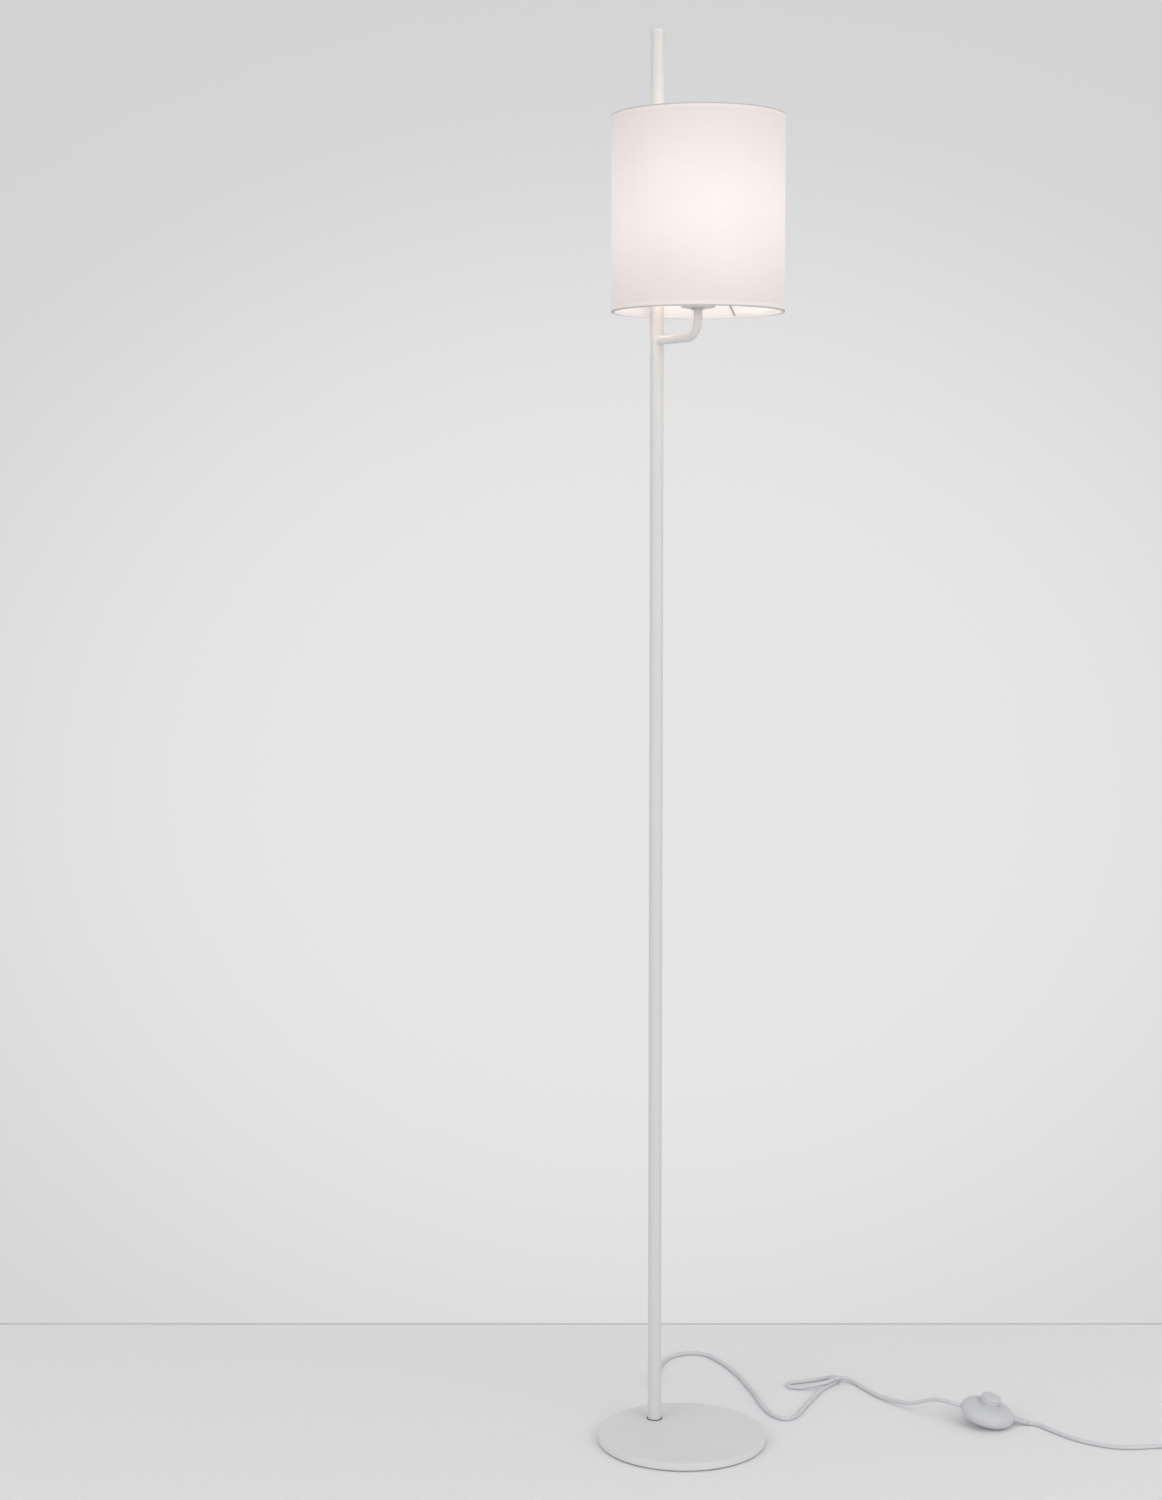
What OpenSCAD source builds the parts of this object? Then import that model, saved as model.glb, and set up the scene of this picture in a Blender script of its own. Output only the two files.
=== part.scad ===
// Column floor lamp: a round base disc, a slender pole standing off its centre, a bent arm that
// carries the lampholder, and a drum shade that the pole passes through. The lead leaves the foot
// of the pole, runs over the floor to a round foot switch, and ends in a coil and its plug.
// Origin: centre of the base disc on the floor. +X points from the pole to the shade, +Z is up.

/* [Base] */
// Diameter of the base disc
base_d = 200; // [180:1:260]
// Height of the disc's top face above the floor
base_h = 10; // [9:0.5:16]
// Radius of the disc's rounded top edge
base_edge_r = 1; // [0.5:0.5:3]
// Height of the disc's underside above the floor, which shows as a dark gap
base_gap = 1.5; // [0.5:0.5:2.5]
// How far the pad sits up inside the disc
pad_seat = 1; // [0.5:0.5:1.5]
// Width of the disc's rim outside the pad
pad_inset = 6; // [4:1:15]
// Diameter of the pad's hole below the screw
pad_hole_d = 22; // [18:1:30]

/* [Pole] */
// Overall height of the lamp, at the top of the pole
lamp_h = 1670; // [1200:10:1900]
// Outside diameter of the pole
pole_d = 16; // [15:0.5:18]
// Wall of the pole
pole_wall = 1.2; // [1:0.1:1.6]
// Distance of the pole from the centre of the disc
pole_offset = 56; // [45:1:70]
// Length of pole above the shade
pole_rise = 110; // [40:5:200]
// Thickness of the cap's head on top of the pole
cap_head = 2.5; // [1.5:0.5:4]
// Length of the cap's plug inside the pole
cap_plug = 12; // [8:1:20]
// Height of the threaded insert in the foot of the pole
insert_h = 22; // [16:1:26]
// Thickness of the ring between the pole and the disc
foot_ring_t = 0.8; // [0.5:0.1:1.5]
// How far the ring between the pole and the disc stands out
foot_ring_lip = 1.2; // [0.6:0.2:3]
// Diameter of the screw that holds the pole
screw_d = 6; // [5:1:6]
// Depth of the screw's countersunk head
screw_head_h = 3.3; // [2.8:0.1:3.6]
// Diameter of the locating pin beside the screw
dowel_d = 2; // [1.5:0.5:2]
// Length of the locating pin
dowel_l = 9; // [6:1:14]

/* [Arm] */
// Distance from the pole's axis to the shade's axis
arm_reach = 80; // [66:1:82]
// Outside diameter of the arm tube
arm_d = 10; // [9:0.5:11]
// Wall of the arm tube
arm_wall = 1; // [0.8:0.1:1.2]
// Radius of the arm's bend, on its centre line
arm_bend = 20; // [16:1:24]
// Depth of the arm's axis below the shade's lower edge
arm_drop = 28; // [26:1:45]
// Height of the weld fillet where the arm meets the pole
weld_r = 1.2; // [0.8:0.2:2]

/* [Shade] */
// Outside diameter of the shade
shade_d = 200; // [196:1:240]
// Height of the shade
shade_h = 222; // [190:2:300]
// Thickness of the shade's cloth
cloth_t = 0.7; // [0.5:0.1:1]
// Thickness of the shade's stiff lining
lining_t = 0.45; // [0.3:0.05:0.8]
// Diameter of the wire of the rings and spider arms
wire_d = 3; // [2.5:0.25:3.5]
// Width of the edge trim on the outside
trim_w = 5.5; // [4:0.5:9]
// Thickness of the edge trim
trim_t = 0.45; // [0.3:0.05:0.8]
// Height of the spider's centre ring above the shade's lower edge
spider_lift = 56; // [50:1:58]
// Thickness of the spider's centre ring
spider_t = 1.5; // [1:0.25:2]
// Outside diameter of the spider's centre ring
spider_d = 66; // [62:1:74]
// Angle of the spider's first arm from the lamp's arm
spider_turn = 116; // [100:1:136]

/* [Lampholder] */
// Diameter of the lampholder's cap
holder_d = 41; // [40:0.5:44]
// Height of the lampholder
holder_h = 60; // [60:1:66]
// Height of the lampholder's underside above the shade's lower edge
holder_lift = 5; // [3:1:8]
// Height of the lampholder's cap
holder_cap_h = 24; // [20:1:26]
// Thickness of the lock nut below the lampholder
lock_nut_h = 2; // [1.5:0.5:3]
// Width of the lock nut across its flats
lock_nut_w = 14; // [13:1:17]
// Outside diameter of the two shade rings
shade_ring_d = 56; // [50:1:58]

/* [Bulb] */
// Diameter of the bulb
bulb_d = 60; // [55:1:62]
// Length of the bulb with its cap
bulb_h = 110; // [104:1:116]

/* [Lead] */
// Diameter of the lead
cord_d = 5; // [4.5:0.1:5.2]
// Height of the lead's outlet above the floor
outlet_z = 50; // [46:1:80]
// Angle of the outlet from straight behind
outlet_turn = 28; // [0:1:40]
// Diameter of the outlet's flange
outlet_flange_d = 15; // [13:0.5:15.5]
// Length of the outlet's tapered sleeve
outlet_sleeve = 20; // [20:1:30]

/* [Foot switch] */
// Diameter of the foot switch
switch_d = 66; // [60:1:72]
// Height of its lower shell
switch_base_h = 8; // [8:0.5:10]
// Height of its body without the button
switch_h = 19; // [19:0.5:22]
// Wall of its shells
switch_wall = 1.8; // [1.4:0.1:2.2]
// Diameter of the button
button_d = 24; // [21:0.5:25]
// Height of the button above the body
button_rise = 11.5; // [9:0.5:13]
// Travel of the button
button_travel = 4; // [2:0.5:4]
// Tilt of the switch, whose far edge the stiff lead holds up
switch_tilt = 13.5; // [4:0.5:16]
// Length of the tapered sleeve on the plug's side
gland_l = 17; // [12:0.5:24]

/* [Coil and plug] */
// Turns of the coil
coil_turns = 5.25; // [3.25:1:7.25]
// Radius of the coil's outermost turn, on the lead's centre line
coil_r = 34.85; // [32:0.05:45]
// Width of the plug, across its pins
plug_w = 35.3; // [33:0.1:37]
// Thickness of the plug
plug_t = 13.7; // [12:0.1:16]
// Length of the plug's body
plug_l = 37; // [34:1:42]
// Length of the plug's tapered sleeve
plug_sleeve = 22; // [20:1:30]
// Diameter of a plug pin
pin_d = 4; // [3.9:0.1:4.2]
// Length of a plug pin outside the plug
pin_l = 19; // [17:0.5:20]
// Distance between the plug pins
pin_gap = 18.6; // [17:0.1:19]

/* [Hidden] */

// Clearances and fine steps
eps = 0.01;
fit_gap = 0.05;
loose_gap = 0.3;
cut = 1;

// Circles are exact; the number of sides only matters for what is meshed
round_fn = 64;
$fn = round_fn;

// Levels and radii that several pieces share
pole_r = pole_d / 2;
pole_bore_r = pole_r - pole_wall;
disc_z = base_gap;
pad_top = base_gap + pad_seat;
pole_z = base_h + foot_ring_t;
screw_pin_x = -(screw_d / 2 + (pole_bore_r - screw_d / 2) / 2);
dowel_z = base_h - dowel_l / 3;
shade_z = lamp_h - pole_rise - shade_h;
shade_top = shade_z + shade_h;
shade_x = arm_reach - pole_offset;
shade_r = shade_d / 2;
arm_z = shade_z - arm_drop;
arm_r = arm_d / 2;
arm_bore_r = arm_r - arm_wall;
cord_r = cord_d / 2;
cord_bore_r = cord_r + fit_gap;
weld_low_r = min(arm_r + 1.5 * weld_r, pole_r - 0.4);
weld_x = sqrt(pole_r * pole_r - weld_low_r * weld_low_r);

// Lampholder levels, above its underside
holder_z = shade_z + holder_lift;
holder_r = holder_d / 2;
holder_wall = 1.8;
holder_edge_r = 3;
holder_floor = 2.5;
boss_r = arm_r + 3;
boss_h = 9;
arm_end = 8;
core_z = 12;
core_top = holder_cap_h + 2;
core_r = holder_r - holder_wall - loose_gap;
skirt_r = holder_r - 0.7;
skirt_bore_r = 15;
skirt_ledge = core_top + fit_gap;
skirt_lip_r = 14.2;
thread_depth = 0.6;
thread_pitch = 2.5;
contact_z = core_top + 4;
terminal_y = 11;
terminal_r = 3;
terminal_h = 9;
bulb_z = contact_z + 2.2;
cap_r = 13.1;
cap_h = 26;

// Bulb levels, above the lampholder's underside
bulb_r = bulb_d / 2;
bulb_neck = bulb_z + cap_h;
bulb_top = bulb_z + bulb_h;
bulb_equator = bulb_top - bulb_r;
globe_low = bulb_equator - bulb_r / 2;
globe_wall = 1.5;
cap_foot = 3;

// Spider and shade rings, above the lampholder's underside
plate_z = spider_lift - holder_lift;
plate_top = plate_z + spider_t;
ring_bore_r = skirt_r + 0.1;
ring_flange_t = 2;
ring_hub_h = 3;
ring_hub_r = ring_bore_r + 3;

// Shade wall, from outside to inside
cloth_r = shade_r - trim_t - fit_gap;
lining_r = cloth_r - cloth_t - fit_gap;
wire_r = wire_d / 2;
wire_ring_r = lining_r - lining_t - fit_gap - wire_r;
wire_edge = trim_t + fit_gap + wire_r;
arm_wire_r = wire_r - 0.15;
spider_rise = spider_lift + spider_t / 2 - wire_edge - fit_gap;
spider_run = wire_ring_r - spider_d / 2 + 1.8;
trim_fold = 5;

// Foot switch: place, and the lead's direction through it
switch_at = [163.9, 340.1];
switch_lean = 32.5;
switch_lead_turn = 16.5;
switch_r = switch_d / 2;
switch_foot_r = switch_r - 4.5;
foot_bevel = 0.8;
switch_lift = (switch_foot_r - foot_bevel) * sin(switch_tilt) + fit_gap;
lead_h = switch_base_h;
seam = 0.5;
shoulder = switch_base_h + 1.2;
switch_floor = 2;
collar_r = button_d / 2 + 2.3;
collar_low = switch_h - 3.2;
button_r = button_d / 2;
button_hole_r = button_r + loose_gap;
button_flange_t = 1.6;
button_low = collar_low - loose_gap - button_flange_t;
button_top = switch_h + button_rise;
button_wall = 1.8;
module_top = button_low - button_travel - loose_gap;
module_size = [22, 16];
stem_r = 3;
stem_low = module_top + loose_gap;
spring_r = 5;
spring_wire_r = 0.6;
spring_turns = 6;
gland_root_r = 4;
gland_tip_r = 3.1;
clamp_x = 21;
clamp_size = [5, 13, 2.2];
contact_r = 1.2;
contact_at = [module_size.x / 2 - 1.8, 4.5];
screw_sink = 2.4;
screw_in = 4.5;
screw_boss_r = 3.4;
tap_r = 1.3;

// Outlet of the lead from the pole
outlet_dir = 180 - outlet_turn;
outlet_flange_t = 2;
outlet_neck_r = 4.4;
outlet_root_r = 4.4;
outlet_tip_r = 3.1;
outlet_reach = pole_r + outlet_flange_t + outlet_sleeve;
inner_bend = 7;
bend_rings = 6;
inner_sides = 12;

// Coil: the turns lie a little over one diameter apart, in two layers
turn_step = cord_d + 0.6;
layer_step = cord_d + 0.5;
coil_at = [346, 531];
coil_start = -34;
tie_t = 0.6;
tie_w = 9;
tie_turn = 200;
tie_gap = 0.1;
coil_z = tie_t + 2 * tie_gap + cord_r;
coil_rings = 24;
coil_sides = 6;

// Plug
plug_z = plug_t / 2 + tie_gap;
plug_turn = 146;
plug_at = [332, 582];
pin_r = pin_d / 2;
plug_tip_r = 3.1;
plug_neck_r = 5;
pin_in = 11;
pin_sleeve_l = 10;

// Routes of the free lead over the floor, chosen by hand; floor_z is the lead's height on it
floor_z = cord_r + 0.1;
cord_sides = 8;
ring_step = 4 * cord_d;
route_to_switch = [
    [-95, 21, 49.5], [-112, 33, 45], [-132, 49, 35], [-155, 68, 21], [-178, 88, 9],
    [-200, 108, 4.2], [-219, 127, 2.75], [-232, 143, floor_z], [-242, 165, floor_z],
    [-239, 190, floor_z], [-220, 204, floor_z], [-191, 203, floor_z], [-159, 197, floor_z],
    [-128, 188, floor_z], [-99, 177, floor_z], [-69, 165, floor_z], [-36, 150, floor_z],
    [-11, 141, floor_z], [10, 139, floor_z], [21, 146, floor_z], [17, 164, floor_z],
    [2, 187, floor_z], [-14, 212, floor_z], [-29, 236, floor_z], [-40, 259, floor_z],
    [-46, 277, floor_z], [-53, 289, floor_z], [-63, 287, floor_z], [-67, 265, floor_z],
    [-72, 244, floor_z], [-76, 230, floor_z], [-73.5, 222, floor_z], [-67, 218.7, floor_z],
    [-60, 221.5, floor_z], [-53, 229, 3.6], [-44, 240, 6], [-40, 258, 8], [-44, 278, 7.9],
    [-43, 293, 5.2], [-29, 296, 3.2], [-5, 293, floor_z], [30, 289, 3.5], [74, 294, 8],
    [111, 304, 21.5]
];
route_to_coil = [
    [209, 385.5, floor_z], [226, 385.5, floor_z], [243, 386, floor_z], [259, 387, floor_z],
    [274, 390, floor_z], [288, 395, floor_z], [302, 402, floor_z], [315, 412, floor_z],
    [326, 427, floor_z], [334, 443, floor_z], [342, 459, floor_z], [351, 475, floor_z],
    [361, 491, 3]
];

// ---- Helpers -------------------------------------------------------------------------------

function unit(v) = v / norm(v);

// A point turned about Z, and about Y
function turn_z(p, a) = [p.x * cos(a) - p.y * sin(a), p.x * sin(a) + p.y * cos(a), p.z];
function turn_y(p, a) = [p.x * cos(a) + p.z * sin(a), p.y, p.z * cos(a) - p.x * sin(a)];

// Points of an arc in a profile, from angle a to angle b
function arc(centre, r, a, b, n) =
    [for (i = [0:n]) centre + r * [cos(a + (b - a) * i / n), sin(a + (b - a) * i / n)]];

// A smooth curve through the points p, with a point every `gap` or so along it
function spline(a, b, c, d, t) =
    0.5 * (2 * b + (c - a) * t + (2 * a - 5 * b + 4 * c - d) * t * t
        + (3 * b - a - 3 * c + d) * t * t * t);
function smooth(p, gap) = let (last = len(p) - 1) concat(
    [for (i = [0:last - 1])
        let (n = max(1, round(norm(p[i + 1] - p[i]) / gap)))
        for (k = [0:n - 1])
            spline(p[max(i - 1, 0)], p[i], p[i + 1], p[min(i + 2, last)], k / n)],
    [p[last]]);
function path_length(p) = len(p) < 2 ? 0
    : [for (i = [1:len(p) - 1]) norm(p[i] - p[i - 1])] * [for (i = [1:len(p) - 1]) 1];

// Direction of a path at its point i
function heading(p, i) = unit(p[min(i + 1, len(p) - 1)] - p[max(i - 1, 0)]);

// Direction across a path at each of its points. It is level at the start, which isn't upright,
// and is carried along from point to point, so that a tube's rings don't twist
function square_to(v, ahead) = unit(v - (v * ahead) * ahead);
function across(p) = [
    for (
        i = 0, v = unit(cross(heading(p, 0), [0, 0, 1]));
        i < len(p);
        i = i + 1, v = i < len(p) ? square_to(v, heading(p, i)) : v
    )
        v
];

// A round tube along a path: one ring of points at each point of the path, joined by triangles,
// and closed at both ends
module tube_along(p, r, sides) {
    n = len(p);
    side = across(p);
    rings = [
        for (i = [0:n - 1])
            let (up = cross(side[i], heading(p, i)))
            for (k = [0:sides - 1])
                p[i] + r * (cos(360 * k / sides) * side[i] + sin(360 * k / sides) * up)
    ];
    skin = [
        for (i = [0:n - 2], k = [0:sides - 1])
            let (a = i * sides + k, b = i * sides + (k + 1) % sides)
            each [[a, b, b + sides], [a, b + sides, a + sides]]
    ];
    start_face = [[for (k = [0:sides - 1]) sides - 1 - k]];
    end_face = [[for (k = [0:sides - 1]) (n - 1) * sides + k]];
    polyhedron(rings, concat(start_face, skin, end_face));
}

// A quarter of a ring in the XZ plane, centred on the origin, from angle a on
module quarter_bend(bend_r, r, a) {
    rotate([90, 0, 0])
        rotate([0, 0, a])
            rotate_extrude(angle = 90)
                translate([bend_r, 0])
                    circle(r);
}

// Rows of thread ridges as a profile edge, from height a to height b at radius r
function ridges(r, depth, a, b, pitch) =
    let (n = floor((b - a) / pitch))
    [for (i = [0:n - 1]) each [
        [r - depth, a + i * pitch + 0.1 * pitch],
        [r, a + i * pitch + 0.35 * pitch],
        [r, a + i * pitch + 0.65 * pitch],
        [r - depth, a + i * pitch + 0.9 * pitch]
    ]];

// A flat rectangle with round corners, centred on the origin
module round_rect(w, h, r) {
    square([w - 2 * r, h], center = true);
    square([w, h - 2 * r], center = true);
    for (x = [-1, 1], y = [-1, 1])
        translate([x * (w / 2 - r), y * (h / 2 - r)])
            circle(r);
}

// Places: on the pole's axis, on the shade's axis, in the lampholder, and in the tilted switch
module at_pole() {
    translate([-pole_offset, 0, 0])
        children();
}

module at_shade() {
    translate([shade_x, 0, 0])
        children();
}

module at_holder() {
    translate([shade_x, 0, holder_z])
        children();
}

module at_switch() {
    translate([switch_at.x, switch_at.y, switch_lift])
        rotate([0, 0, switch_lean])
            rotate([0, switch_tilt, 0])
                rotate([0, 0, switch_lead_turn])
                    children();
}

function switch_point(p) =
    [switch_at.x, switch_at.y, switch_lift]
    + turn_z(turn_y(turn_z(p, switch_lead_turn), switch_tilt), switch_lean);

// ---- Base ----------------------------------------------------------------------------------

// The heavy steel disc, with a rounded top edge, a recess for the pad and a countersunk hole
module base_disc() {
    r = base_d / 2;
    bottom_edge = 0.6;
    color("whitesmoke")
        difference() {
            rotate_extrude()
                polygon(concat(
                    [[0, disc_z], [r - bottom_edge, disc_z], [r, disc_z + bottom_edge]],
                    arc([r - base_edge_r, base_h - base_edge_r], base_edge_r, 0, 90, 6),
                    [[0, base_h]]
                ));
            translate([0, 0, disc_z - cut])
                cylinder(h = pad_seat + cut, r = r - pad_inset);
            at_pole() {
                translate([0, 0, disc_z])
                    cylinder(h = base_h, r = screw_d / 2 + loose_gap);
                screw_cone(fit_gap);
                translate([screw_pin_x, 0, dowel_z])
                    cylinder(h = dowel_l, r = dowel_d / 2 + fit_gap);
            }
        }
}

// Thick soft pad glued into the recess; it holds the disc off the floor
module base_pad() {
    color("dimgray")
        difference() {
            cylinder(h = pad_top, r = base_d / 2 - pad_inset - fit_gap);
            at_pole()
                translate([0, 0, -cut])
                    cylinder(h = pad_top + 2 * cut, r = pad_hole_d / 2);
        }
}

// The countersunk head's cone, grown by a clearance
module screw_cone(gap) {
    head_r = screw_d / 2 + screw_head_h;
    translate([0, 0, pad_top - gap])
        cylinder(h = screw_head_h + gap, r1 = head_r + 2 * gap, r2 = screw_d / 2 + gap);
}

// Countersunk screw, from below through the disc into the pole's insert
module base_screw() {
    socket_w = 5;
    socket_h = 2.6;
    color("silver")
        at_pole()
            difference() {
                union() {
                    screw_cone(0);
                    translate([0, 0, pad_top])
                        cylinder(h = pole_z - pad_top + insert_h - 4, r = screw_d / 2);
                }
                translate([0, 0, pad_top - cut])
                    cylinder(h = socket_h + cut, d = socket_w / cos(30), $fn = 6);
            }
}

// Locating pin that keeps the pole from turning on the disc
module foot_pin() {
    color("silver")
        at_pole()
            translate([screw_pin_x, 0, dowel_z + fit_gap])
                cylinder(h = dowel_l - 2 * fit_gap, r = dowel_d / 2);
}

// Threaded slug fixed in the foot of the pole
module foot_insert() {
    color("silver")
        at_pole()
            difference() {
                translate([0, 0, pole_z])
                    cylinder(h = insert_h, r = pole_bore_r - fit_gap);
                translate([0, 0, pole_z - cut])
                    cylinder(h = insert_h + 2 * cut, r = screw_d / 2 + fit_gap);
                translate([screw_pin_x, 0, dowel_z])
                    cylinder(h = dowel_l, r = dowel_d / 2 + fit_gap);
            }
}

// Thin dark ring between the pole and the painted disc
module foot_ring() {
    color("gray")
        at_pole()
            difference() {
                translate([0, 0, base_h])
                    cylinder(h = foot_ring_t, r = pole_r + foot_ring_lip);
                translate([0, 0, base_h - cut])
                    cylinder(h = foot_ring_t + 2 * cut, r = pole_bore_r);
            }
}

// ---- Pole and arm --------------------------------------------------------------------------

// One steel tube from the disc to the top, with a hole for the lead and one behind the arm
module pole_tube() {
    color("white")
        at_pole()
            difference() {
                translate([0, 0, pole_z])
                    cylinder(h = lamp_h - cap_head - pole_z, r = pole_r);
                translate([0, 0, pole_z - cut])
                    cylinder(h = lamp_h, r = pole_bore_r);
                rotate([0, 0, outlet_dir])
                    translate([0, 0, outlet_z])
                        rotate([0, 90, 0])
                            cylinder(h = pole_d, r = outlet_neck_r + fit_gap);
                translate([0, 0, arm_z])
                    rotate([0, 90, 0])
                        cylinder(h = pole_d, r = arm_bore_r);
            }
}

// Plastic plug with a slightly domed head that closes the top of the pole
module pole_cap() {
    edge = 0.8;
    z = lamp_h - cap_head;
    color("white")
        at_pole()
            difference() {
                rotate_extrude()
                    polygon(concat(
                        [[0, z - cap_plug], [pole_bore_r - 3 * fit_gap, z - cap_plug]],
                        [[pole_bore_r - fit_gap, z - cap_plug + edge]],
                        [[pole_bore_r - fit_gap, z], [pole_r, z]],
                        arc([pole_r - edge, z + cap_head - edge], edge, 0, 80, 4),
                        [[0, lamp_h]]
                    ));
                translate([0, 0, z - cap_plug - cut])
                    cylinder(h = cap_plug, r = pole_bore_r - 2);
            }
}

// The arm's shape at radius r: out from the pole, a quarter bend, and up into the lampholder
module arm_path(r, extra) {
    run = arm_reach - arm_bend;
    translate([-pole_offset, 0, arm_z]) {
        rotate([0, 90, 0])
            cylinder(h = run, r = r);
        translate([run, 0, arm_bend])
            quarter_bend(arm_bend, r, 270);
        translate([arm_reach, 0, arm_bend])
            cylinder(h = holder_z + arm_end + extra - arm_z - arm_bend, r = r);
    }
}

// Bent steel tube, cut to the pole's curve and welded to it; its upper end carries the thread
module arm_tube() {
    color("white")
        difference() {
            union() {
                arm_path(arm_r, 0);
                translate([weld_x - pole_offset, 0, arm_z])
                    rotate([0, 90, 0])
                        cylinder(h = pole_r + weld_r - weld_x, r1 = weld_low_r, r2 = arm_r);
            }
            arm_path(arm_bore_r, cut);
            at_pole()
                translate([0, 0, arm_z - pole_d])
                    cylinder(h = 2 * pole_d, r = pole_r + fit_gap);
        }
}

// Moulded outlet: a flange on the pole, a neck through its wall and a tapered ribbed sleeve
module cable_outlet() {
    groove = 0.5;
    sleeve_x = pole_r + outlet_flange_t;
    neck_in = pole_bore_r - 1.2;
    color("white")
        at_pole()
            translate([0, 0, outlet_z])
                rotate([0, 0, outlet_dir])
                    difference() {
                        rotate([0, 90, 0])
                            rotate_extrude()
                                polygon(concat(
                                    [[cord_bore_r, neck_in], [outlet_neck_r, neck_in]],
                                    [[outlet_neck_r, pole_r - 3]],
                                    [[outlet_flange_d / 2, pole_r - 3]],
                                    [[outlet_flange_d / 2, sleeve_x - 0.8]],
                                    [[outlet_flange_d / 2 - 0.8, sleeve_x]],
                                    sleeve_edge(
                                        outlet_root_r, outlet_tip_r,
                                        sleeve_x, outlet_reach, groove, 5
                                    ),
                                    [[cord_bore_r, outlet_reach]]
                                ));
                        outlet_saddle(neck_in);
                    }
}

// What the pole's wall takes out of the outlet's flange, leaving its neck
module outlet_saddle(neck_in) {
    translate([0, 0, -outlet_flange_d])
        difference() {
            cylinder(h = 2 * outlet_flange_d, r = pole_r + fit_gap);
            translate([neck_in - cut, 0, outlet_flange_d])
                rotate([0, 90, 0])
                    cylinder(h = pole_d, r = outlet_neck_r + fit_gap / 2);
        }
}

// Edge of a tapered sleeve with n flexing grooves, from height a to height b
function sleeve_edge(root_r, tip_r, a, b, groove, n) =
    let (step = (b - a) / (n + 1), slope = (tip_r - root_r) / (b - a))
    concat(
        [[root_r, a]],
        [for (i = [1:n]) let (z = a + i * step, r = root_r + slope * i * step) each [
            [r, z - 0.2 * step],
            [r - groove, z - 0.12 * step],
            [r - groove, z + 0.12 * step],
            [r, z + 0.2 * step]
        ]],
        [[tip_r, b]]
    );

// The lead inside the lamp, in one piece: through the outlet, up the pole, along the arm
function bend(centre, r, a, b) = [for (q = arc(centre, r, a, b, bend_rings)) [q.x, 0, q.y]];
function from_outlet(p) = turn_z(p, outlet_dir);

inner_path = concat(
    [from_outlet([outlet_reach, 0, outlet_z])],
    [for (p = bend([inner_bend, outlet_z + inner_bend], inner_bend, 270, 180)) from_outlet(p)],
    bend([inner_bend, arm_z - inner_bend], inner_bend, 180, 90),
    bend([arm_reach - arm_bend, arm_z + arm_bend], arm_bend, 270, 360),
    [[arm_reach, 0, holder_z + core_z]]
);

module inner_cable() {
    color("whitesmoke")
        at_pole()
            tube_along(inner_path, cord_r, inner_sides);
}

// ---- Lampholder ----------------------------------------------------------------------------

// Thin six-sided nut on the arm's thread, under the lampholder
module lock_nut() {
    color("silver")
        at_holder()
            translate([0, 0, -lock_nut_h])
                difference() {
                    cylinder(h = lock_nut_h, d = lock_nut_w / cos(30), $fn = 6);
                    translate([0, 0, -cut])
                        cylinder(h = lock_nut_h + 2 * cut, r = arm_r + fit_gap);
                }
}

// Cup-shaped lower cap with a threaded boss that screws onto the arm
module holder_cap() {
    inner_r = holder_r - holder_wall;
    color("whitesmoke")
        at_holder()
            rotate_extrude()
                polygon(concat(
                    [[arm_r + fit_gap, 0]],
                    arc([holder_r - holder_edge_r, holder_edge_r], holder_edge_r, -90, 0, 6),
                    [[holder_r, holder_cap_h], [inner_r, holder_cap_h]],
                    [[inner_r, holder_edge_r + 1], [inner_r - 2, holder_floor]],
                    [[boss_r, holder_floor], [boss_r, boss_h], [arm_r + fit_gap, boss_h]]
                ));
}

// Round insulating block that carries the terminals and the contacts
module holder_core() {
    post_r = 6;
    slot = 1.2;
    color("ivory")
        at_holder()
            difference() {
                union() {
                    translate([0, 0, core_z])
                        cylinder(h = core_top - core_z, r = core_r);
                    translate([0, 0, core_z])
                        cylinder(h = contact_z - core_z, r = post_r);
                }
                for (side = [-1, 1])
                    translate([0, side * terminal_y, core_z - cut])
                        cylinder(h = terminal_h + cut, r = terminal_r + fit_gap);
                difference() {
                    translate([0, 0, core_z - cut])
                        cylinder(h = slot + cut, r = core_r - 2);
                    translate([0, 0, core_z - 2 * cut])
                        cylinder(h = slot + 3 * cut, r = core_r - 4);
                }
            }
}

// The two brass terminals, each with its slotted screw
module holder_terminals() {
    head_h = 1.6;
    slot_w = 0.8;
    color("gold")
        at_holder()
            for (side = [-1, 1])
                translate([0, side * terminal_y, core_z])
                    difference() {
                        union() {
                            cylinder(h = terminal_h, r = terminal_r);
                            translate([0, 0, -head_h])
                                cylinder(h = head_h, r = terminal_r - 0.8);
                        }
                        translate([-terminal_r, -slot_w / 2, -head_h - cut])
                            cube([2 * terminal_r, slot_w, cut + head_h / 2]);
                    }
}

// Springy centre contact: a foot on the post and a tongue that rises to the bulb
module holder_contact() {
    tongue = [9, 5, 0.5];
    color("gold")
        at_holder()
            translate([0, 0, contact_z]) {
                translate([-tongue.x / 2, -tongue.y / 2, 0])
                    cube(tongue);
                translate([0, 0, tongue.z - eps])
                    cylinder(h = bulb_z - contact_z - tongue.z - fit_gap, r1 = 2.2, r2 = 1.6);
            }
}

// Thin brass sleeve that the bulb's cap screws into
module holder_thread_shell() {
    bore_r = cap_r + fit_gap;
    color("gold")
        at_holder()
            difference() {
                translate([0, 0, core_top])
                    cylinder(h = cap_h - 2, r = bore_r + 0.5);
                translate([0, 0, core_top + 1])
                    cylinder(h = cap_h, r = bore_r);
                translate([0, 0, core_top - cut])
                    cylinder(h = 3 * cut, r = 9);
            }
}

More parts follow.
